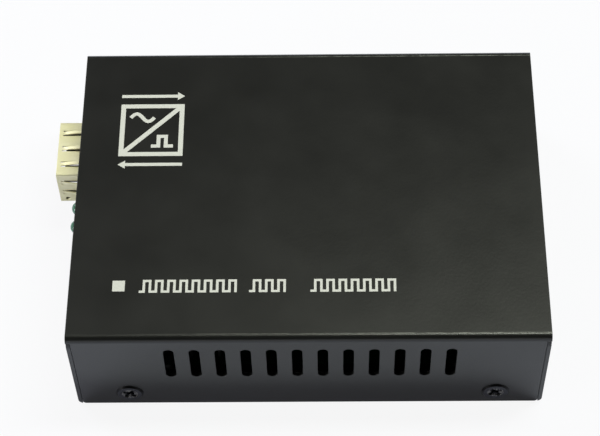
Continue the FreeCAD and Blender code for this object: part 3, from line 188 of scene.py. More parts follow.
def blackOxideScrew():
    # case-hardened steel, black oxide, oiled and dark, rubbed bright where the driver turns in the
    # cross, with painted shade on the head's rim
    material, tree, shader, place = startFinish("blackOxideScrew")
    low, high = (Vector(corner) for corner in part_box("cover_screws"))
    middle = (low + high) / 2
    halfSpacing = (high.x - low.x - screwLook["head"]) / 2
    spot = addNode(tree, "ShaderNodeSeparateXYZ", {"Vector": place})
    along = addNode(tree, "ShaderNodeMath", {0: spot.outputs["X"], 1: middle.x}, operation="SUBTRACT")
    either = addNode(tree, "ShaderNodeMath", {0: along}, operation="ABSOLUTE")
    aside = addNode(tree, "ShaderNodeMath", {0: either, 1: halfSpacing}, operation="SUBTRACT")
    above = addNode(tree, "ShaderNodeMath", {0: spot.outputs["Z"], 1: middle.z}, operation="SUBTRACT")
    fromAxis = addNode(tree, "ShaderNodeCombineXYZ", {"X": aside, "Z": above})
    radius = addNode(tree, "ShaderNodeVectorMath", {0: fromAxis}, operation="LENGTH")
    inRecess = addNode(tree, "ShaderNodeMath", {
        0: radius.outputs["Value"], 1: screwLook["recess"] / 2}, operation="LESS_THAN")
    level = addNode(tree, "ShaderNodeMath", {0: spot.outputs["Y"]}, operation="ABSOLUTE")
    off = addNode(tree, "ShaderNodeMath", {
        0: level, 1: high.y - screwLook["wornDepth"]}, operation="SUBTRACT")
    away = addNode(tree, "ShaderNodeMath", {0: off}, operation="ABSOLUTE")
    band = addNode(tree, "ShaderNodeMapRange", {
        "Value": away, "From Min": 0.0, "From Max": screwLook["wornReach"],
        "To Min": 1.0, "To Max": 0.0})
    scratch = addNode(tree, "ShaderNodeTexNoise", {
        "Vector": place, "Scale": 1 / screwLook["scratch"], "Detail": 3.0})
    specks = addNode(tree, "ShaderNodeMapRange", {
        "Value": scratch, "From Min": 0.42, "From Max": 0.56, "To Min": 0.0, "To Max": 1.0})
    rubbed = addNode(tree, "ShaderNodeMath", {0: band, 1: specks}, operation="MULTIPLY")
    worn = addNode(tree, "ShaderNodeMath", {0: rubbed, 1: inRecess}, operation="MULTIPLY")
    # painted shade over the whole rim of the head, where the countersink's shadow falls
    onRim = addNode(tree, "ShaderNodeMath", {
        0: radius.outputs["Value"], 1: screwLook["face"] / 2}, operation="GREATER_THAN")
    oxideAndRimShade = addNode(tree, "ShaderNodeMix", {
        0: onRim, 6: hexColour(screwLook["black"]), 7: hexColour(screwLook["rimShade"])}, data_type="RGBA")
    colour = addNode(tree, "ShaderNodeMix", {
        0: worn, 6: oxideAndRimShade.outputs[2], 7: hexColour(screwLook["worn"])}, data_type="RGBA")
    gloss = addNode(tree, "ShaderNodeMapRange", {
        "Value": scratch, "From Min": 0.25, "From Max": 0.75,
        "To Min": screwLook["gloss"][0], "To Max": screwLook["gloss"][1]})
    scratched = addNode(tree, "ShaderNodeBump", {
        "Height": scratch, "Distance": screwLook["scratchDepth"]})
    feed(tree, shader, {
        "Metallic": screwLook["metal"], "Base Color": colour.outputs[2], "Roughness": gloss,
        "Normal": scratched})
    return material


cageLook = {
    "dull": "#ece7b4",
    "bright": "#fffbdc",
    "metal": 0.75,
    "gloss": (0.45, 0.56),
    "rim": 0.06 * mm,         # the plating rounds the sheared edges by about this
    "rolled": 0.12 * mm,      # spacing of the fine lines, and how much longer than wide they are
    "stretch": 30,
    "rolledDepth": 0.001 * mm,
    "cloud": 3 * mm,
    "inside": "#434031",      # painted shade inside the folded walls, where little light reaches
    "insideHalf": 6.8 * mm,   # what lies within this of the middle, and below the next, is inside
    "insideTop": 15.8 * mm,
}


def platedSpringBronze():
    # nickel over copper alloy sheet, rolled: a warm pale metal, satin, with fine lines along it, and
    # painted shade inside the folded walls
    material, tree, shader, place = startFinish("platedSpringBronze")
    along = addNode(tree, "ShaderNodeMapping", {
        "Vector": place, "Scale": (1 / cageLook["stretch"], 1, 1)})
    lines = addNode(tree, "ShaderNodeTexNoise", {
        "Vector": along, "Scale": 1 / cageLook["rolled"], "Detail": 2.0})
    cloud = addNode(tree, "ShaderNodeTexNoise", {
        "Vector": place, "Scale": 1 / cageLook["cloud"], "Detail": 2.0})
    plating = addNode(tree, "ShaderNodeMix", {
        0: cloud, 6: hexColour(cageLook["dull"]), 7: hexColour(cageLook["bright"])}, data_type="RGBA")
    low, high = (Vector(corner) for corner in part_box("sfp_cage_cover"))
    spot = addNode(tree, "ShaderNodeSeparateXYZ", {"Vector": place})
    # painted shade inside the cage: within its walls and below its top
    across = addNode(tree, "ShaderNodeMath", {
        0: spot.outputs["Y"], 1: (low.y + high.y) / 2}, operation="SUBTRACT")
    aside = addNode(tree, "ShaderNodeMath", {0: across}, operation="ABSOLUTE")
    within = addNode(tree, "ShaderNodeMath", {
        0: aside, 1: cageLook["insideHalf"]}, operation="LESS_THAN")
    below = addNode(tree, "ShaderNodeMath", {
        0: spot.outputs["Z"], 1: cageLook["insideTop"]}, operation="LESS_THAN")
    inside = addNode(tree, "ShaderNodeMath", {0: within, 1: below}, operation="MULTIPLY")
    colour = addNode(tree, "ShaderNodeMix", {
        0: inside, 6: plating.outputs[2], 7: hexColour(cageLook["inside"])}, data_type="RGBA")
    gloss = addNode(tree, "ShaderNodeMapRange", {
        "Value": lines, "From Min": 0.25, "From Max": 0.75,
        "To Min": cageLook["gloss"][0], "To Max": cageLook["gloss"][1]})
    rounded = addNode(tree, "ShaderNodeBevel", {"Radius": cageLook["rim"]}, samples=6)
    rolled = addNode(tree, "ShaderNodeBump", {
        "Height": lines, "Distance": cageLook["rolledDepth"], "Normal": rounded})
    feed(tree, shader, {
        "Metallic": cageLook["metal"], "Base Color": colour.outputs[2], "Roughness": gloss,
        "Normal": rolled})
    return material


ledLook = {
    "core": "#245c41",
    "edge": "#6aa586",
    "swirl": 1.2 * mm,
    "ior": 1.54,
    "gloss": 0.1,
    "clear": 0.35,    # how much of the light passes into it
}


def tintedLedEpoxy():
    # green diffused casting epoxy: glossy, and light passes into it
    material, tree, shader, place = startFinish("tintedLedEpoxy")
    swirl = addNode(tree, "ShaderNodeTexNoise", {
        "Vector": place, "Scale": 1 / ledLook["swirl"], "Detail": 2.0})
    colour = addNode(tree, "ShaderNodeMix", {
        0: swirl, 6: hexColour(ledLook["core"]), 7: hexColour(ledLook["edge"])}, data_type="RGBA")
    feed(tree, shader, {
        "Base Color": colour.outputs[2], "IOR": ledLook["ior"], "Roughness": ledLook["gloss"],
        "Transmission Weight": ledLook["clear"]})
    return material


boardLook = {
    "mask": "#0a3019",
    "track": "#124a2b",
    "cell": 3.048 * mm,    # the tracks run in rings round points this far apart
    "rings": 5.0,          # so many to a cell
    "bare": 0.6,           # the share of a ring that has no track
    "weave": 0.5 * mm,
    "filmDepth": 0.02 * mm,
    "ior": 1.55,
    "gloss": 0.24,
}


def solderMaskedLaminate():
    # glass-epoxy laminate under green solder mask: glossy, the tracks under it a shade lighter
    material, tree, shader, place = startFinish("solderMaskedLaminate")
    cells = addNode(tree, "ShaderNodeTexVoronoi", {
        "Vector": place, "Scale": 1 / boardLook["cell"], "Randomness": 0.65},
        distance="MANHATTAN", feature="F1")
    rings = addNode(tree, "ShaderNodeMath", {0: cells, 1: boardLook["rings"]}, operation="MULTIPLY")
    stripe = addNode(tree, "ShaderNodeMath", {0: rings}, operation="FRACT")
    track = addNode(tree, "ShaderNodeMath", {0: stripe, 1: boardLook["bare"]}, operation="GREATER_THAN")
    colour = addNode(tree, "ShaderNodeMix", {
        0: track, 6: hexColour(boardLook["mask"]), 7: hexColour(boardLook["track"])}, data_type="RGBA")
    weave = addNode(tree, "ShaderNodeTexNoise", {
        "Vector": place, "Scale": 1 / boardLook["weave"], "Detail": 1.0})
    height = addNode(tree, "ShaderNodeMath", {0: track, 1: weave}, operation="ADD")
    film = addNode(tree, "ShaderNodeBump", {"Height": height, "Distance": boardLook["filmDepth"]})
    feed(tree, shader, {
        "Base Color": colour.outputs[2], "IOR": boardLook["ior"], "Roughness": boardLook["gloss"],
        "Normal": film})
    return material


sleeveLook = {
    "sleeve": "#17181c",
    "aluminium": "#c4c6c6",
    "bareLevel": 17.1 * mm,    # the can is bare above this
    "wrinkle": 0.8 * mm,       # across, and how much longer down the can
    "stretch": 6,
    "wrinkleDepth": 0.01 * mm,
    "gloss": (0.25, 0.36),
    "ior": 1.5,
}


def capacitorSleeve():
    # shrunk vinyl over a drawn aluminium can: black glossy side, bare metal on top
    material, tree, shader, place = startFinish("capacitorSleeve")
    spot = addNode(tree, "ShaderNodeSeparateXYZ", {"Vector": place})
    bare = addNode(tree, "ShaderNodeMath", {0: spot.outputs["Z"], 1: sleeveLook["bareLevel"]},
                   operation="GREATER_THAN")
    down = addNode(tree, "ShaderNodeMapping", {
        "Vector": place, "Scale": (1, 1, 1 / sleeveLook["stretch"])})
    wrinkle = addNode(tree, "ShaderNodeTexNoise", {
        "Vector": down, "Scale": 1 / sleeveLook["wrinkle"], "Detail": 2.0})
    colour = addNode(tree, "ShaderNodeMix", {
        0: bare, 6: hexColour(sleeveLook["sleeve"]), 7: hexColour(sleeveLook["aluminium"])},
        data_type="RGBA")
    gloss = addNode(tree, "ShaderNodeMapRange", {
        "Value": wrinkle, "From Min": 0.25, "From Max": 0.75,
        "To Min": sleeveLook["gloss"][0], "To Max": sleeveLook["gloss"][1]})
    shrunk = addNode(tree, "ShaderNodeBump", {
        "Height": wrinkle, "Distance": sleeveLook["wrinkleDepth"]})
    feed(tree, shader, {
        "Base Color": colour.outputs[2], "Metallic": bare, "Roughness": gloss, "Normal": shrunk,
        "IOR": sleeveLook["ior"]})
    return material


# the finishes that are one even grain; grain is its size, and stretch draws it out along the axes
grainLooks = {
    # electro-zinc on steel: a cool grey metal, a little cloudy
    "zincPlatedSteel": {
        "metal": 1, "dark": "#a9adad", "light": "#cdd1d0", "grain": 1.6 * mm, "gloss": (0.26, 0.38)},
    # bright nickel over brass sheet and pins: slightly yellow, smooth, rolled across
    "nickelPlatedBrass": {
        "metal": 1, "dark": "#b9b5a8", "light": "#d8d4c6", "grain": 0.1 * mm, "stretch": (1, 25, 1),
        "gloss": (0.22, 0.32)},
    # hard gold over nickel on phosphor bronze: warm, bright, drawn smooth
    "goldPlatedContact": {
        "metal": 1, "dark": "#c9983f", "light": "#f0cf86", "grain": 0.5 * mm, "gloss": (0.18, 0.3)},
    # matt tin over copper leads: grey-white, softly crystalline
    "tinnedCopper": {
        "metal": 1, "dark": "#8f9290", "light": "#bfc1bd", "grain": 0.25 * mm, "gloss": (0.34, 0.48)},
    # drawn and plated can of the crystal: pale, brushed along its length
    "drawnSteelCan": {
        "metal": 1, "dark": "#a8a9a6", "light": "#d3d3cf", "grain": 0.08 * mm, "stretch": (30, 1, 1),
        "gloss": (0.24, 0.36)},
    # glass-filled nylon from a spark-eroded mould: dull black, finely pitted
    "mouldedBlackNylon": {
        "ior": 1.53, "dark": "#101011", "light": "#19191a", "grain": 0.12 * mm, "gloss": (0.45, 0.6),
        "relief": 0.004 * mm},
    # transfer-moulded chip epoxy: charcoal, matt, with a silica speckle
    "mouldedChipEpoxy": {
        "ior": 1.55, "dark": "#161617", "light": "#242425", "grain": 0.15 * mm, "gloss": (0.5, 0.68),
        "relief": 0.005 * mm},
    # pressed and sintered ferrite: dark grey and stony
    "sinteredFerrite": {
        "ior": 1.6, "dark": "#2a2a2b", "light": "#444443", "grain": 0.3 * mm, "gloss": (0.55, 0.75),
        "relief": 0.02 * mm},
    # fired ceramic of the chip resistors, under a black glaze
    "resistorGlaze": {
        "ior": 1.6, "dark": "#18181a", "light": "#232326", "grain": 0.2 * mm, "gloss": (0.35, 0.5)},
    # bare fired ceramic of the chip capacitors: tan, faintly speckled
    "capacitorCeramic": {
        "ior": 1.6, "dark": "#8a6a48", "light": "#a5835c", "grain": 0.2 * mm, "gloss": (0.4, 0.55)},
    # off-white epoxy screen ink: matt, with the faint mesh of the screen in it
    "screenInk": {
        "ior": 1.48, "dark": "#cecfc9", "light": "#dedfd9", "grain": 0.25 * mm, "gloss": (0.55, 0.68)},
}


def grainFinish(name):
    # one of the finishes above, with pits in it where it has relief
    look = grainLooks[name]
    material, tree, shader, place = startFinish(name)
    drawn = addNode(tree, "ShaderNodeMapping", {
        "Vector": place, "Scale": [1 / s for s in look.get("stretch", (1, 1, 1))]})
    grain = addNode(tree, "ShaderNodeTexNoise", {
        "Vector": drawn, "Scale": 1 / look["grain"], "Detail": 3.0, "Roughness": 0.55})
    colour = addNode(tree, "ShaderNodeMix", {
        0: grain, 6: hexColour(look["dark"]), 7: hexColour(look["light"])}, data_type="RGBA")
    gloss = addNode(tree, "ShaderNodeMapRange", {
        "Value": grain, "From Min": 0.25, "From Max": 0.75,
        "To Min": look["gloss"][0], "To Max": look["gloss"][1]})
    feed(tree, shader, {
        "Base Color": colour.outputs[2], "Roughness": gloss, "Metallic": look.get("metal", 0)})
    if "ior" in look:
        feed(tree, shader, {"IOR": look["ior"]})
    if "relief" in look:
        pits = addNode(tree, "ShaderNodeBump", {"Height": grain, "Distance": look["relief"]})
        feed(tree, shader, {"Normal": pits})
    return material


finishes = {name: grainFinish(name) for name in grainLooks}
for make in (powderCoatedSteel, blackOxideScrew, platedSpringBronze, tintedLedEpoxy,
             solderMaskedLaminate, capacitorSleeve):
    finishes[make.__name__] = make()

nodeFinish = {
    "top_cover": "powderCoatedSteel", "base_pan": "powderCoatedSteel",
    "cover_screws": "blackOxideScrew", "board_screws": "zincPlatedSteel",
    "board_standoffs": "zincPlatedSteel",
    "sfp_cage_cover": "platedSpringBronze", "sfp_cage_base": "platedSpringBronze",
    "sfp_connector": "mouldedBlackNylon", "sfp_contacts": "goldPlatedContact",
    "rj45_housing": "mouldedBlackNylon", "rj45_shield": "nickelPlatedBrass",
    "rj45_contacts": "goldPlatedContact",
    "led_block": "mouldedBlackNylon", "led_near": "tintedLedEpoxy", "led_far": "tintedLedEpoxy",
    "led_leads": "tinnedCopper",
    "dc_inlet_housing": "mouldedBlackNylon", "dc_inlet_pin": "nickelPlatedBrass",
    "dc_inlet_blade": "nickelPlatedBrass",
    "main_board": "solderMaskedLaminate", "converter_chip": "mouldedChipEpoxy",
    "magnetics": "mouldedChipEpoxy", "magnetics_leads": "tinnedCopper",
    "memory_chip": "mouldedChipEpoxy", "memory_chip_leads": "tinnedCopper",
    "crystal_can": "drawnSteelCan", "power_inductor": "sinteredFerrite",
    "regulator_body": "mouldedChipEpoxy", "regulator_tab": "tinnedCopper",
    "input_diode": "mouldedChipEpoxy", "input_diode_straps": "tinnedCopper",
    "input_capacitor": "capacitorSleeve", "output_capacitor": "capacitorSleeve",
    "chip_resistors": "resistorGlaze", "chip_capacitors": "capacitorCeramic",
}
for name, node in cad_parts.items():
    for slot in node.material_slots:
        slot.material = finishes[nodeFinish[name]]
print("finishes on", len(nodeFinish), "nodes")


smoothLook = {
    "crease": 32,    # degrees; a sharper edge than this stays an edge
    "level": 0.3,    # degrees; faces turned less than this from each other are one flat
    "rule": 5,       # a flat this many times larger than its neighbours keeps its own shading
    "merge": 0.0005 * mm,    # points nearer than this are one
    "slots": {       # the nodes with curves that show, and the material slot of each
        "top_cover": "black_steel", "base_pan": "black_steel", "cover_screws": "screw_black",
        "sfp_cage_cover": "plated_cage", "led_near": "green_lens", "led_far": "green_lens",
        "dc_inlet_housing": "black_plastic", "dc_inlet_pin": "jack_shield",
        "led_block": "black_plastic",
        "input_capacitor": "capacitor_sleeve", "output_capacitor": "capacitor_sleeve",
        "crystal_can": "jack_shield", "magnetics_leads": "tinned_lead",
        "rj45_contacts": "gold_contact", "sfp_contacts": "gold_contact",
    },
}


def addPiece(name, mesh, finish):
    # an object at the origin that rides on the case
    mesh.materials.clear()
    mesh.materials.append(finishes[finish])
    piece = bpy.data.objects.new(name, mesh)
    scene.collection.objects.link(piece)
    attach(piece, "root")
    return piece


def cornerNormals(shape):
    # bends and domes shade as curves, and each flat next to them stays flat
    level, crease = (math.cos(math.radians(smoothLook[key])) for key in ("level", "crease"))
    flatOf, flats = {}, []
    for first in shape.faces:
        if first in flatOf:
            continue
        waiting, area = [first], 0.0
        flatOf[first] = len(flats)
        while waiting:
            face = waiting.pop()
            area += face.calc_area()
            for other in (f for edge in face.edges for f in edge.link_faces if f not in flatOf):
                if face.normal.dot(other.normal) > level:
                    flatOf[other] = len(flats)
                    waiting.append(other)
        flats.append((area, first.normal.copy()))
    normals = []
    for face in shape.faces:
        for corner in face.loops:
            near = {flatOf[f] for f in corner.vert.link_faces if f.normal.dot(face.normal) > crease}
            near = sorted((flats[i] for i in near), key=lambda flat: -flat[0])
            if len(near) > 1 and near[0][0] > smoothLook["rule"] * near[1][0]:
                near = near[:1]
            normals.append(sum((normal * area for area, normal in near), Vector()).normalized())
    return normals


inkFilm = 0.03 * mm    # thickness of the print, which the cover's flat top makes room for

ventLook = {
    # the slots are a little too long in the source, so their round ends move here
    "row": (-28.6 * mm, 29.2 * mm),    # the slots lie between these along the case
    "wall": 34.0 * mm,                 # and further out than this
    "foot": (9.7 * mm, 10.9 * mm),     # the lower ends lie between these levels
    "footUp": 1.24 * mm,               # and go up this far
    "head": (20.3 * mm, 21.5 * mm),    # the same for the upper ends
    "headUp": 0.27 * mm,
}


def shortenVents(shape):
    # only points of the round ends move, straight up, so the slots stay straight and open
    left, right = ventLook["row"]
    for vert in shape.verts:
        inRow = left < vert.co.x < right and abs(vert.co.y) > ventLook["wall"]
        for end in ("foot", "head"):
            low, high = ventLook[end]
            if inRow and low < vert.co.z < high:
                vert.co.z += ventLook[end + "Up"]
                break


def lowerTop(shape):
    # room for the ink, so that the print ends level with the case
    for vert in shape.verts:
        if vert.co.z > cadHigh.z - 0.001 * mm:    # the flat and nothing below it
            vert.co.z -= inkFilm


def smoothCopy(name):
    # the node's own form, its loose triangles joined
    shape = bmesh.new()
    shape.from_mesh(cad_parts[name].data)
    bmesh.ops.remove_doubles(shape, verts=shape.verts, dist=smoothLook["merge"])
    if name == "top_cover":
        shortenVents(shape)
        lowerTop(shape)
    shape.normal_update()
    normals = cornerNormals(shape)
    mesh = bpy.data.meshes.new(name + "Smooth")
    shape.to_mesh(mesh)
    shape.free()
    mesh.shade_smooth()
    mesh.normals_split_custom_set(normals)
    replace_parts(addPiece(name + "Smooth", mesh, nodeFinish[name]), name)


for name, slotName in smoothLook["slots"].items():
    smoothCopy(name)
print("smooth copies of", len(smoothLook["slots"]), "nodes")


printLook = {
    "left": -39.0 * mm,       # the symbol's left edge
    "low": 8.3 * mm,          # and its near edge
    "side": 13.2 * mm,
    "stroke": 1.0 * mm,
    "thinStroke": 0.8 * mm,   # of the wave and the pulse
    # the wave and the pulse, as shares of the symbol's side
    "waveAt": (0.16, 0.74),   # where the wave starts
    "waveLong": 0.372,
    "waveSwing": 0.075,
    "wavePoints": 13,
    "pulseAt": (0.50, 0.19),  # where the pulse starts
    "pulseStep": 0.115,       # the length of each of its three level runs
    "pulseRise": 0.184,
    "arrowGap": 2.1 * mm,     # from the frame to the middle of an arrow
    "arrowStroke": 0.75 * mm,
    "arrowHead": 1.0 * mm,    # half the head's width
    "arrowLong": 1.5 * mm,    # and the head's length
    "bulletLeft": -38.4 * mm,
    "bulletLow": -24.1 * mm,
    "bulletSide": 2.45 * mm,
}


def ribbon(path, width):
    # the outlines of a mitred stroke along a path of (x, y) points, one for each of its runs
    points = [Vector(p) for p in path]
    sides = []
    for i, point in enumerate(points):
        before = (point - points[i - 1]).normalized() if i else (points[1] - point).normalized()
        after = (points[i + 1] - point).normalized() if i + 1 < len(points) else before
        middle = (before + after).normalized()
        mitre = max(0.3, middle.dot(after))    # a sharp bend's mitre stays short
        out = Vector((-middle.y, middle.x)) * (width / 2 / mitre)
        sides.append((point - out, point + out))
    return [(a, c, d, b) for (a, b), (c, d) in zip(sides, sides[1:])]


def inked(name, outlines):
    # a film of ink on the cover's top, from flat outlines that meet but never overlap
    shape = bmesh.new()
    low, high = cadHigh.z - 2 * inkFilm, cadHigh.z
    for outline in outlines:
        rings = [[shape.verts.new((x, y, z)) for x, y in outline] for z in (low, high)]
        for ring in rings:
            shape.faces.new(ring)
        for i in range(len(outline)):
            a, b = rings[0][i - 1], rings[0][i]
            shape.faces.new((a, b, rings[1][i], rings[1][i - 1]))
    bmesh.ops.recalc_face_normals(shape, faces=shape.faces)
    mesh = bpy.data.meshes.new(name)
    shape.to_mesh(mesh)
    shape.free()
    return addPiece(name, mesh, "screenInk")


def frameOutlines(left, low, right, high, width):
    # a square frame with its diagonal, mitred into each other
    a, b, c, d = left + width, low + width, right - width, high - width
    cut = width / math.sqrt(2)
    return [
        ((left, low), (right, low), (c, b), (a, b)), ((right, low), (right, high), (c, d), (c, b)),
        ((right, high), (left, high), (a, d), (c, d)), ((left, high), (left, low), (a, b), (a, d)),
        ((a, b), (a + cut, b), (c, d - cut), (c, d), (c - cut, d), (a, b + cut)),
    ]


def arrowOutline(tail, tip, level):
    # one plain arrow along x
    way = math.copysign(1.0, tip - tail)
    half, head = printLook["arrowStroke"] / 2, printLook["arrowHead"]
    neck = tip - way * printLook["arrowLong"]
    return ((tail, level - half), (neck, level - half), (neck, level - head), (tip, level),
            (neck, level + head), (neck, level + half), (tail, level + half))


def wavePath(left, low, side):
    # one whole wave along x
    x, y = printLook["waveAt"]
    runs = printLook["wavePoints"] - 1
    path = []
    for i in range(runs + 1):
        swing = printLook["waveSwing"] * math.sin(2 * math.pi * i / runs)
        path.append((left + side * (x + printLook["waveLong"] * i / runs), low + side * (y + swing)))
    return path


def pulsePath(left, low, side):
    # one square pulse along x
    x, y = printLook["pulseAt"]
    start, foot = left + side * x, low + side * y
    step, top = side * printLook["pulseStep"], foot + side * printLook["pulseRise"]
    return [(start, foot), (start + step, foot), (start + step, top), (start + 2 * step, top),
            (start + 2 * step, foot), (start + 3 * step, foot)]


# the drawing-board symbol of a converter: a framed square, its diagonal, a wave, and a pulse
left, low, side = (printLook[key] for key in ("left", "low", "side"))
right, high = left + side, low + side
thin = printLook["thinStroke"]
inked("printSymbolFrame", frameOutlines(left, low, right, high, printLook["stroke"]))
inked("printSymbolWaves",
      ribbon(wavePath(left, low, side), thin) + ribbon(pulsePath(left, low, side), thin))
inked("printArrows", [arrowOutline(left, right, high + printLook["arrowGap"]),
                      arrowOutline(right, left, low - printLook["arrowGap"])])
left, low = printLook["bulletLeft"], printLook["bulletLow"]
right, high = left + printLook["bulletSide"], low + printLook["bulletSide"]
inked("printBullet", [((left, low), (right, low), (right, high), (left, high))])
print("symbol and bullet printed")


pulseLook = {
    "count": 22,
    "spacing": 2.4 * mm,
    "height": 2.45 * mm,   # between the middles of its low and high runs
    "stroke": 0.5 * mm,
    "film": 2 * inkFilm,   # its lower half lies in the cover
    "share": 0.8,          # of the pulses that are there; the rest are the gaps between the bursts
    "seed": 11,
    "left": -33.4 * mm,
    "low": -24.2 * mm,
}


def pulseLineTree():
    # one square pulse, repeated along a line, with gaps where the random share leaves it out
    tree = bpy.data.node_groups.new("pulseLine", "GeometryNodeTree")
    tree.interface.new_socket("Geometry", in_out="OUTPUT", socket_type="NodeSocketGeometry")
    kinds = {"count": "NodeSocketInt", "seed": "NodeSocketInt", "ink": "NodeSocketMaterial"}
    for name in ("count", "spacing", "height", "stroke", "film", "share", "seed", "ink"):
        tree.interface.new_socket(name, in_out="INPUT", socket_type=kinds.get(name, "NodeSocketFloat"))
    given = addNode(tree, "NodeGroupInput").outputs
    half = addNode(tree, "ShaderNodeMath", {0: given["spacing"], 1: 0.5}, operation="MULTIPLY")
    run = addNode(tree, "ShaderNodeMath", {0: half, 1: given["stroke"]}, operation="SUBTRACT")
    rise = addNode(tree, "ShaderNodeMath", {0: given["height"], 1: given["stroke"]}, operation="ADD")
    middle = addNode(tree, "ShaderNodeMath", {0: given["height"], 1: 0.5}, operation="MULTIPLY")
    pulseShape = addNode(tree, "GeometryNodeJoinGeometry")
    bars = (    # place along the pulse, length, width, and place across
        (0.25, run, given["stroke"], 0.0),
        (0.5, given["stroke"], rise, middle),
        (0.75, run, given["stroke"], given["height"]),
        (1.0, given["stroke"], rise, middle),
    )
    for share, long, tall, up in bars:
        across = addNode(tree, "ShaderNodeMath", {0: given["spacing"], 1: share}, operation="MULTIPLY")
        size = addNode(tree, "ShaderNodeCombineXYZ", {"X": long, "Y": tall, "Z": given["film"]})
        place = addNode(tree, "ShaderNodeCombineXYZ", {"X": across, "Y": up})
        bar = addNode(tree, "GeometryNodeMeshCube", {"Size": size})
        moved = addNode(tree, "GeometryNodeTransform", {"Geometry": bar, "Translation": place})
        feed(tree, pulseShape, {0: moved})
    offset = addNode(tree, "ShaderNodeCombineXYZ", {"X": given["spacing"]})
    row = addNode(tree, "GeometryNodeMeshLine", {"Count": given["count"], "Offset": offset})
    chosen = addNode(tree, "FunctionNodeRandomValue", data_type="BOOLEAN")
    feed(tree, chosen, {"Probability": given["share"], "Seed": given["seed"]})
    bursts = addNode(tree, "GeometryNodeInstanceOnPoints", {    # output 3 is the yes or no
        "Points": row, "Selection": chosen.outputs[3], "Instance": pulseShape})
    real = addNode(tree, "GeometryNodeRealizeInstances", {0: bursts})
    ready = addNode(tree, "GeometryNodeSetMaterial", {"Geometry": real, "Material": given["ink"]})
    addNode(tree, "NodeGroupOutput", {0: ready})
    return tree


def grow(tree, values, name):
    # runs a tree on an empty mesh and keeps the result as a plain mesh
    holder = bpy.data.objects.new("holder", bpy.data.meshes.new("holder"))
    scene.collection.objects.link(holder)
    modifier = holder.modifiers.new("grow", "NODES")
    modifier.node_group = tree
    for item in tree.interface.items_tree:
        if item.in_out == "INPUT" and item.name in values:
            modifier[item.identifier] = values[item.name]
    evaluated = holder.evaluated_get(bpy.context.evaluated_depsgraph_get())
    mesh = bpy.data.meshes.new_from_object(evaluated)
    bpy.data.objects.remove(holder)
    mesh.name = name
    return mesh


pulses = grow(pulseLineTree(), dict(pulseLook, ink=finishes["screenInk"]), "printPulses")
pulses.transform(Matrix.Translation((pulseLook["left"], pulseLook["low"], cadHigh.z - inkFilm)))
addPiece("printPulses", pulses, "screenInk")
print("pulse line printed:", len(pulses.polygons), "faces")


studioLook = {
    "paper": "#e2e6fa",
    "paperGlow": 0.90,          # white that the camera sees in the paper; the rest keeps the shadow
    "paperGlowInGloss": 0.10,   # and that gloss and glass see, which need the shadow more
    "floorReach": 6.0,          # from the middle of the floor to each of its sides
    "floorGap": 0.05 * mm,      # between the floor and the case
    "sweepEnds": (0.10, 0.30),  # the white sweep fades out between these, as the sine of the height
    "roomFront": 0.05,          # the dim studio above the sweep, darkest in front of the object
    "roomBack": 0.11,
    "roomTurn": (-0.2, 0.6),    # it brightens between these; -1 is straight in front, 1 behind
    "lamps": {
        # name: place, watts, width and height, colour
        "stripSoftbox": ((0.32, 0.21, 1.08), 7.4, (0.60, 0.16), "#faffee"),
        "leftPanel": ((-0.85, 0.70, 0.66), 7.0, (0.6, 0.6), "#ffffff"),
        "rightPanel": ((1.05, 0.48, 0.62), 4.5, (0.6, 0.6), "#ffffff"),
        "lowPanel": ((-0.80, -0.38, 0.13), 4.0, (0.3, 0.2), "#fffcff"),   # for the cage and the screws
    },
}


def paperFloor():
    # matt white paper, which seems plain white but for the object's shadow
    material = bpy.data.materials.new("mattPaper")
    material.use_nodes = True
    tree = material.node_tree
    tree.nodes.clear()
    path = addNode(tree, "ShaderNodeLightPath")
    gloss = addNode(tree, "ShaderNodeMath", {
        0: path.outputs["Is Glossy Ray"], 1: path.outputs["Is Transmission Ray"]}, operation="MAXIMUM")
    lessGloss = addNode(tree, "ShaderNodeMath", {0: gloss, 1: studioLook["paperGlowInGloss"]},
                        operation="MULTIPLY")
    seen = addNode(tree, "ShaderNodeMath", {
        0: path.outputs["Is Camera Ray"], 1: studioLook["paperGlow"]}, operation="MULTIPLY")
    share = addNode(tree, "ShaderNodeMath", {0: seen, 1: lessGloss}, operation="MAXIMUM")
    paper = addNode(tree, "ShaderNodeBsdfDiffuse", {"Color": hexColour(studioLook["paper"])})
    glow = addNode(tree, "ShaderNodeEmission", {"Color": (1, 1, 1, 1), "Strength": 1.0})
    mixed = addNode(tree, "ShaderNodeMixShader", {0: share, 1: paper, 2: glow})
    addNode(tree, "ShaderNodeOutputMaterial", {"Surface": mixed})
    reach, level = studioLook["floorReach"], cadLow.z - studioLook["floorGap"]
    mesh = bpy.data.meshes.new("floor")
    mesh.from_pydata([(-reach, -reach, level), (reach, -reach, level), (reach, reach, level),
                      (-reach, reach, level)], [], [(0, 1, 2, 3)])
    mesh.materials.append(material)
    floor = bpy.data.objects.new("floor", mesh)
    scene.collection.objects.link(floor)


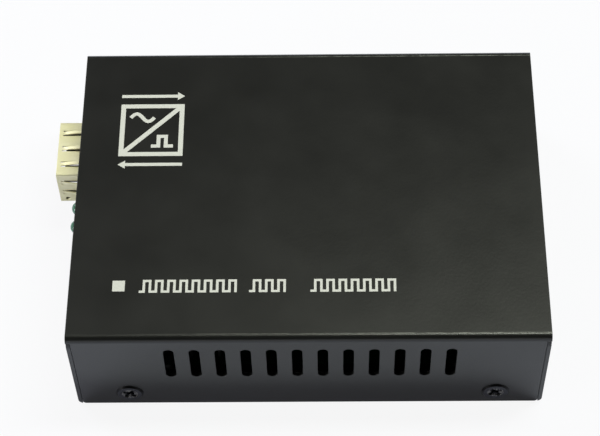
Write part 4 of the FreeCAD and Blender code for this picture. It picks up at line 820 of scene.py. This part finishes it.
def studioRoom():
    # a white sweep round the floor's edge, and the dim room above it
    world = bpy.data.worlds.new("studioRoom")
    world.use_nodes = True
    tree = world.node_tree
    tree.nodes.clear()
    way = addNode(tree, "ShaderNodeTexCoord").outputs["Generated"]
    spot = addNode(tree, "ShaderNodeSeparateXYZ", {"Vector": way})
    start, end = studioLook["sweepEnds"]
    sweep = addNode(tree, "ShaderNodeMapRange", {
        "Value": spot.outputs["Z"], "From Min": start, "From Max": end, "To Min": 1.0, "To Max": 0.0},
        interpolation_type="SMOOTHSTEP")
    front, back = studioLook["roomTurn"]
    room = addNode(tree, "ShaderNodeMapRange", {
        "Value": spot.outputs["Y"], "From Min": front, "From Max": back,
        "To Min": studioLook["roomFront"], "To Max": studioLook["roomBack"]},
        interpolation_type="SMOOTHSTEP")
    level = addNode(tree, "ShaderNodeMath", {0: sweep, 1: room}, operation="MAXIMUM")
    light = addNode(tree, "ShaderNodeBackground", {"Color": (1, 1, 1, 1), "Strength": level})
    addNode(tree, "ShaderNodeOutputWorld", {"Surface": light})
    scene.world = world


def softLamp(name, place, power, size, colour):
    # a soft box that faces the object, its width level with the long side of the case
    lamp = bpy.data.lights.new(name, "AREA")
    lamp.shape = "RECTANGLE"
    lamp.size, lamp.size_y = size
    lamp.energy = power
    lamp.color = hexColour(colour)[:3]
    back = Vector(place).normalized()
    along = (Vector((1, 0, 0)) - back * back.x).normalized()
    holder = bpy.data.objects.new(name, lamp)
    holder.location = place
    holder.rotation_euler = Matrix((along, back.cross(along), back)).transposed().to_euler()
    scene.collection.objects.link(holder)


paperFloor()
studioRoom()
for name, facts in studioLook["lamps"].items():
    softLamp(name, *facts)


cameraLook = {
    "lens": 114.33,      # focal length and film width, in millimetres
    "film": 36.0,
    "nearest": 10 * mm,
    "place": (4.542 * mm, -217.321 * mm, 344.204 * mm),
    "turn": (33.407, 0.9805, 0.1988),    # degrees
}
camera = bpy.data.cameras.new("camera")
camera.lens = cameraLook["lens"]
camera.sensor_width = cameraLook["film"]
camera.clip_start = cameraLook["nearest"]
eye = bpy.data.objects.new("camera", camera)
eye.location = cameraLook["place"]
eye.rotation_euler = Euler([math.radians(a) for a in cameraLook["turn"]], "XYZ")
scene.collection.objects.link(eye)
scene.camera = eye
scene.view_settings.view_transform = "Standard"
print("studio set")
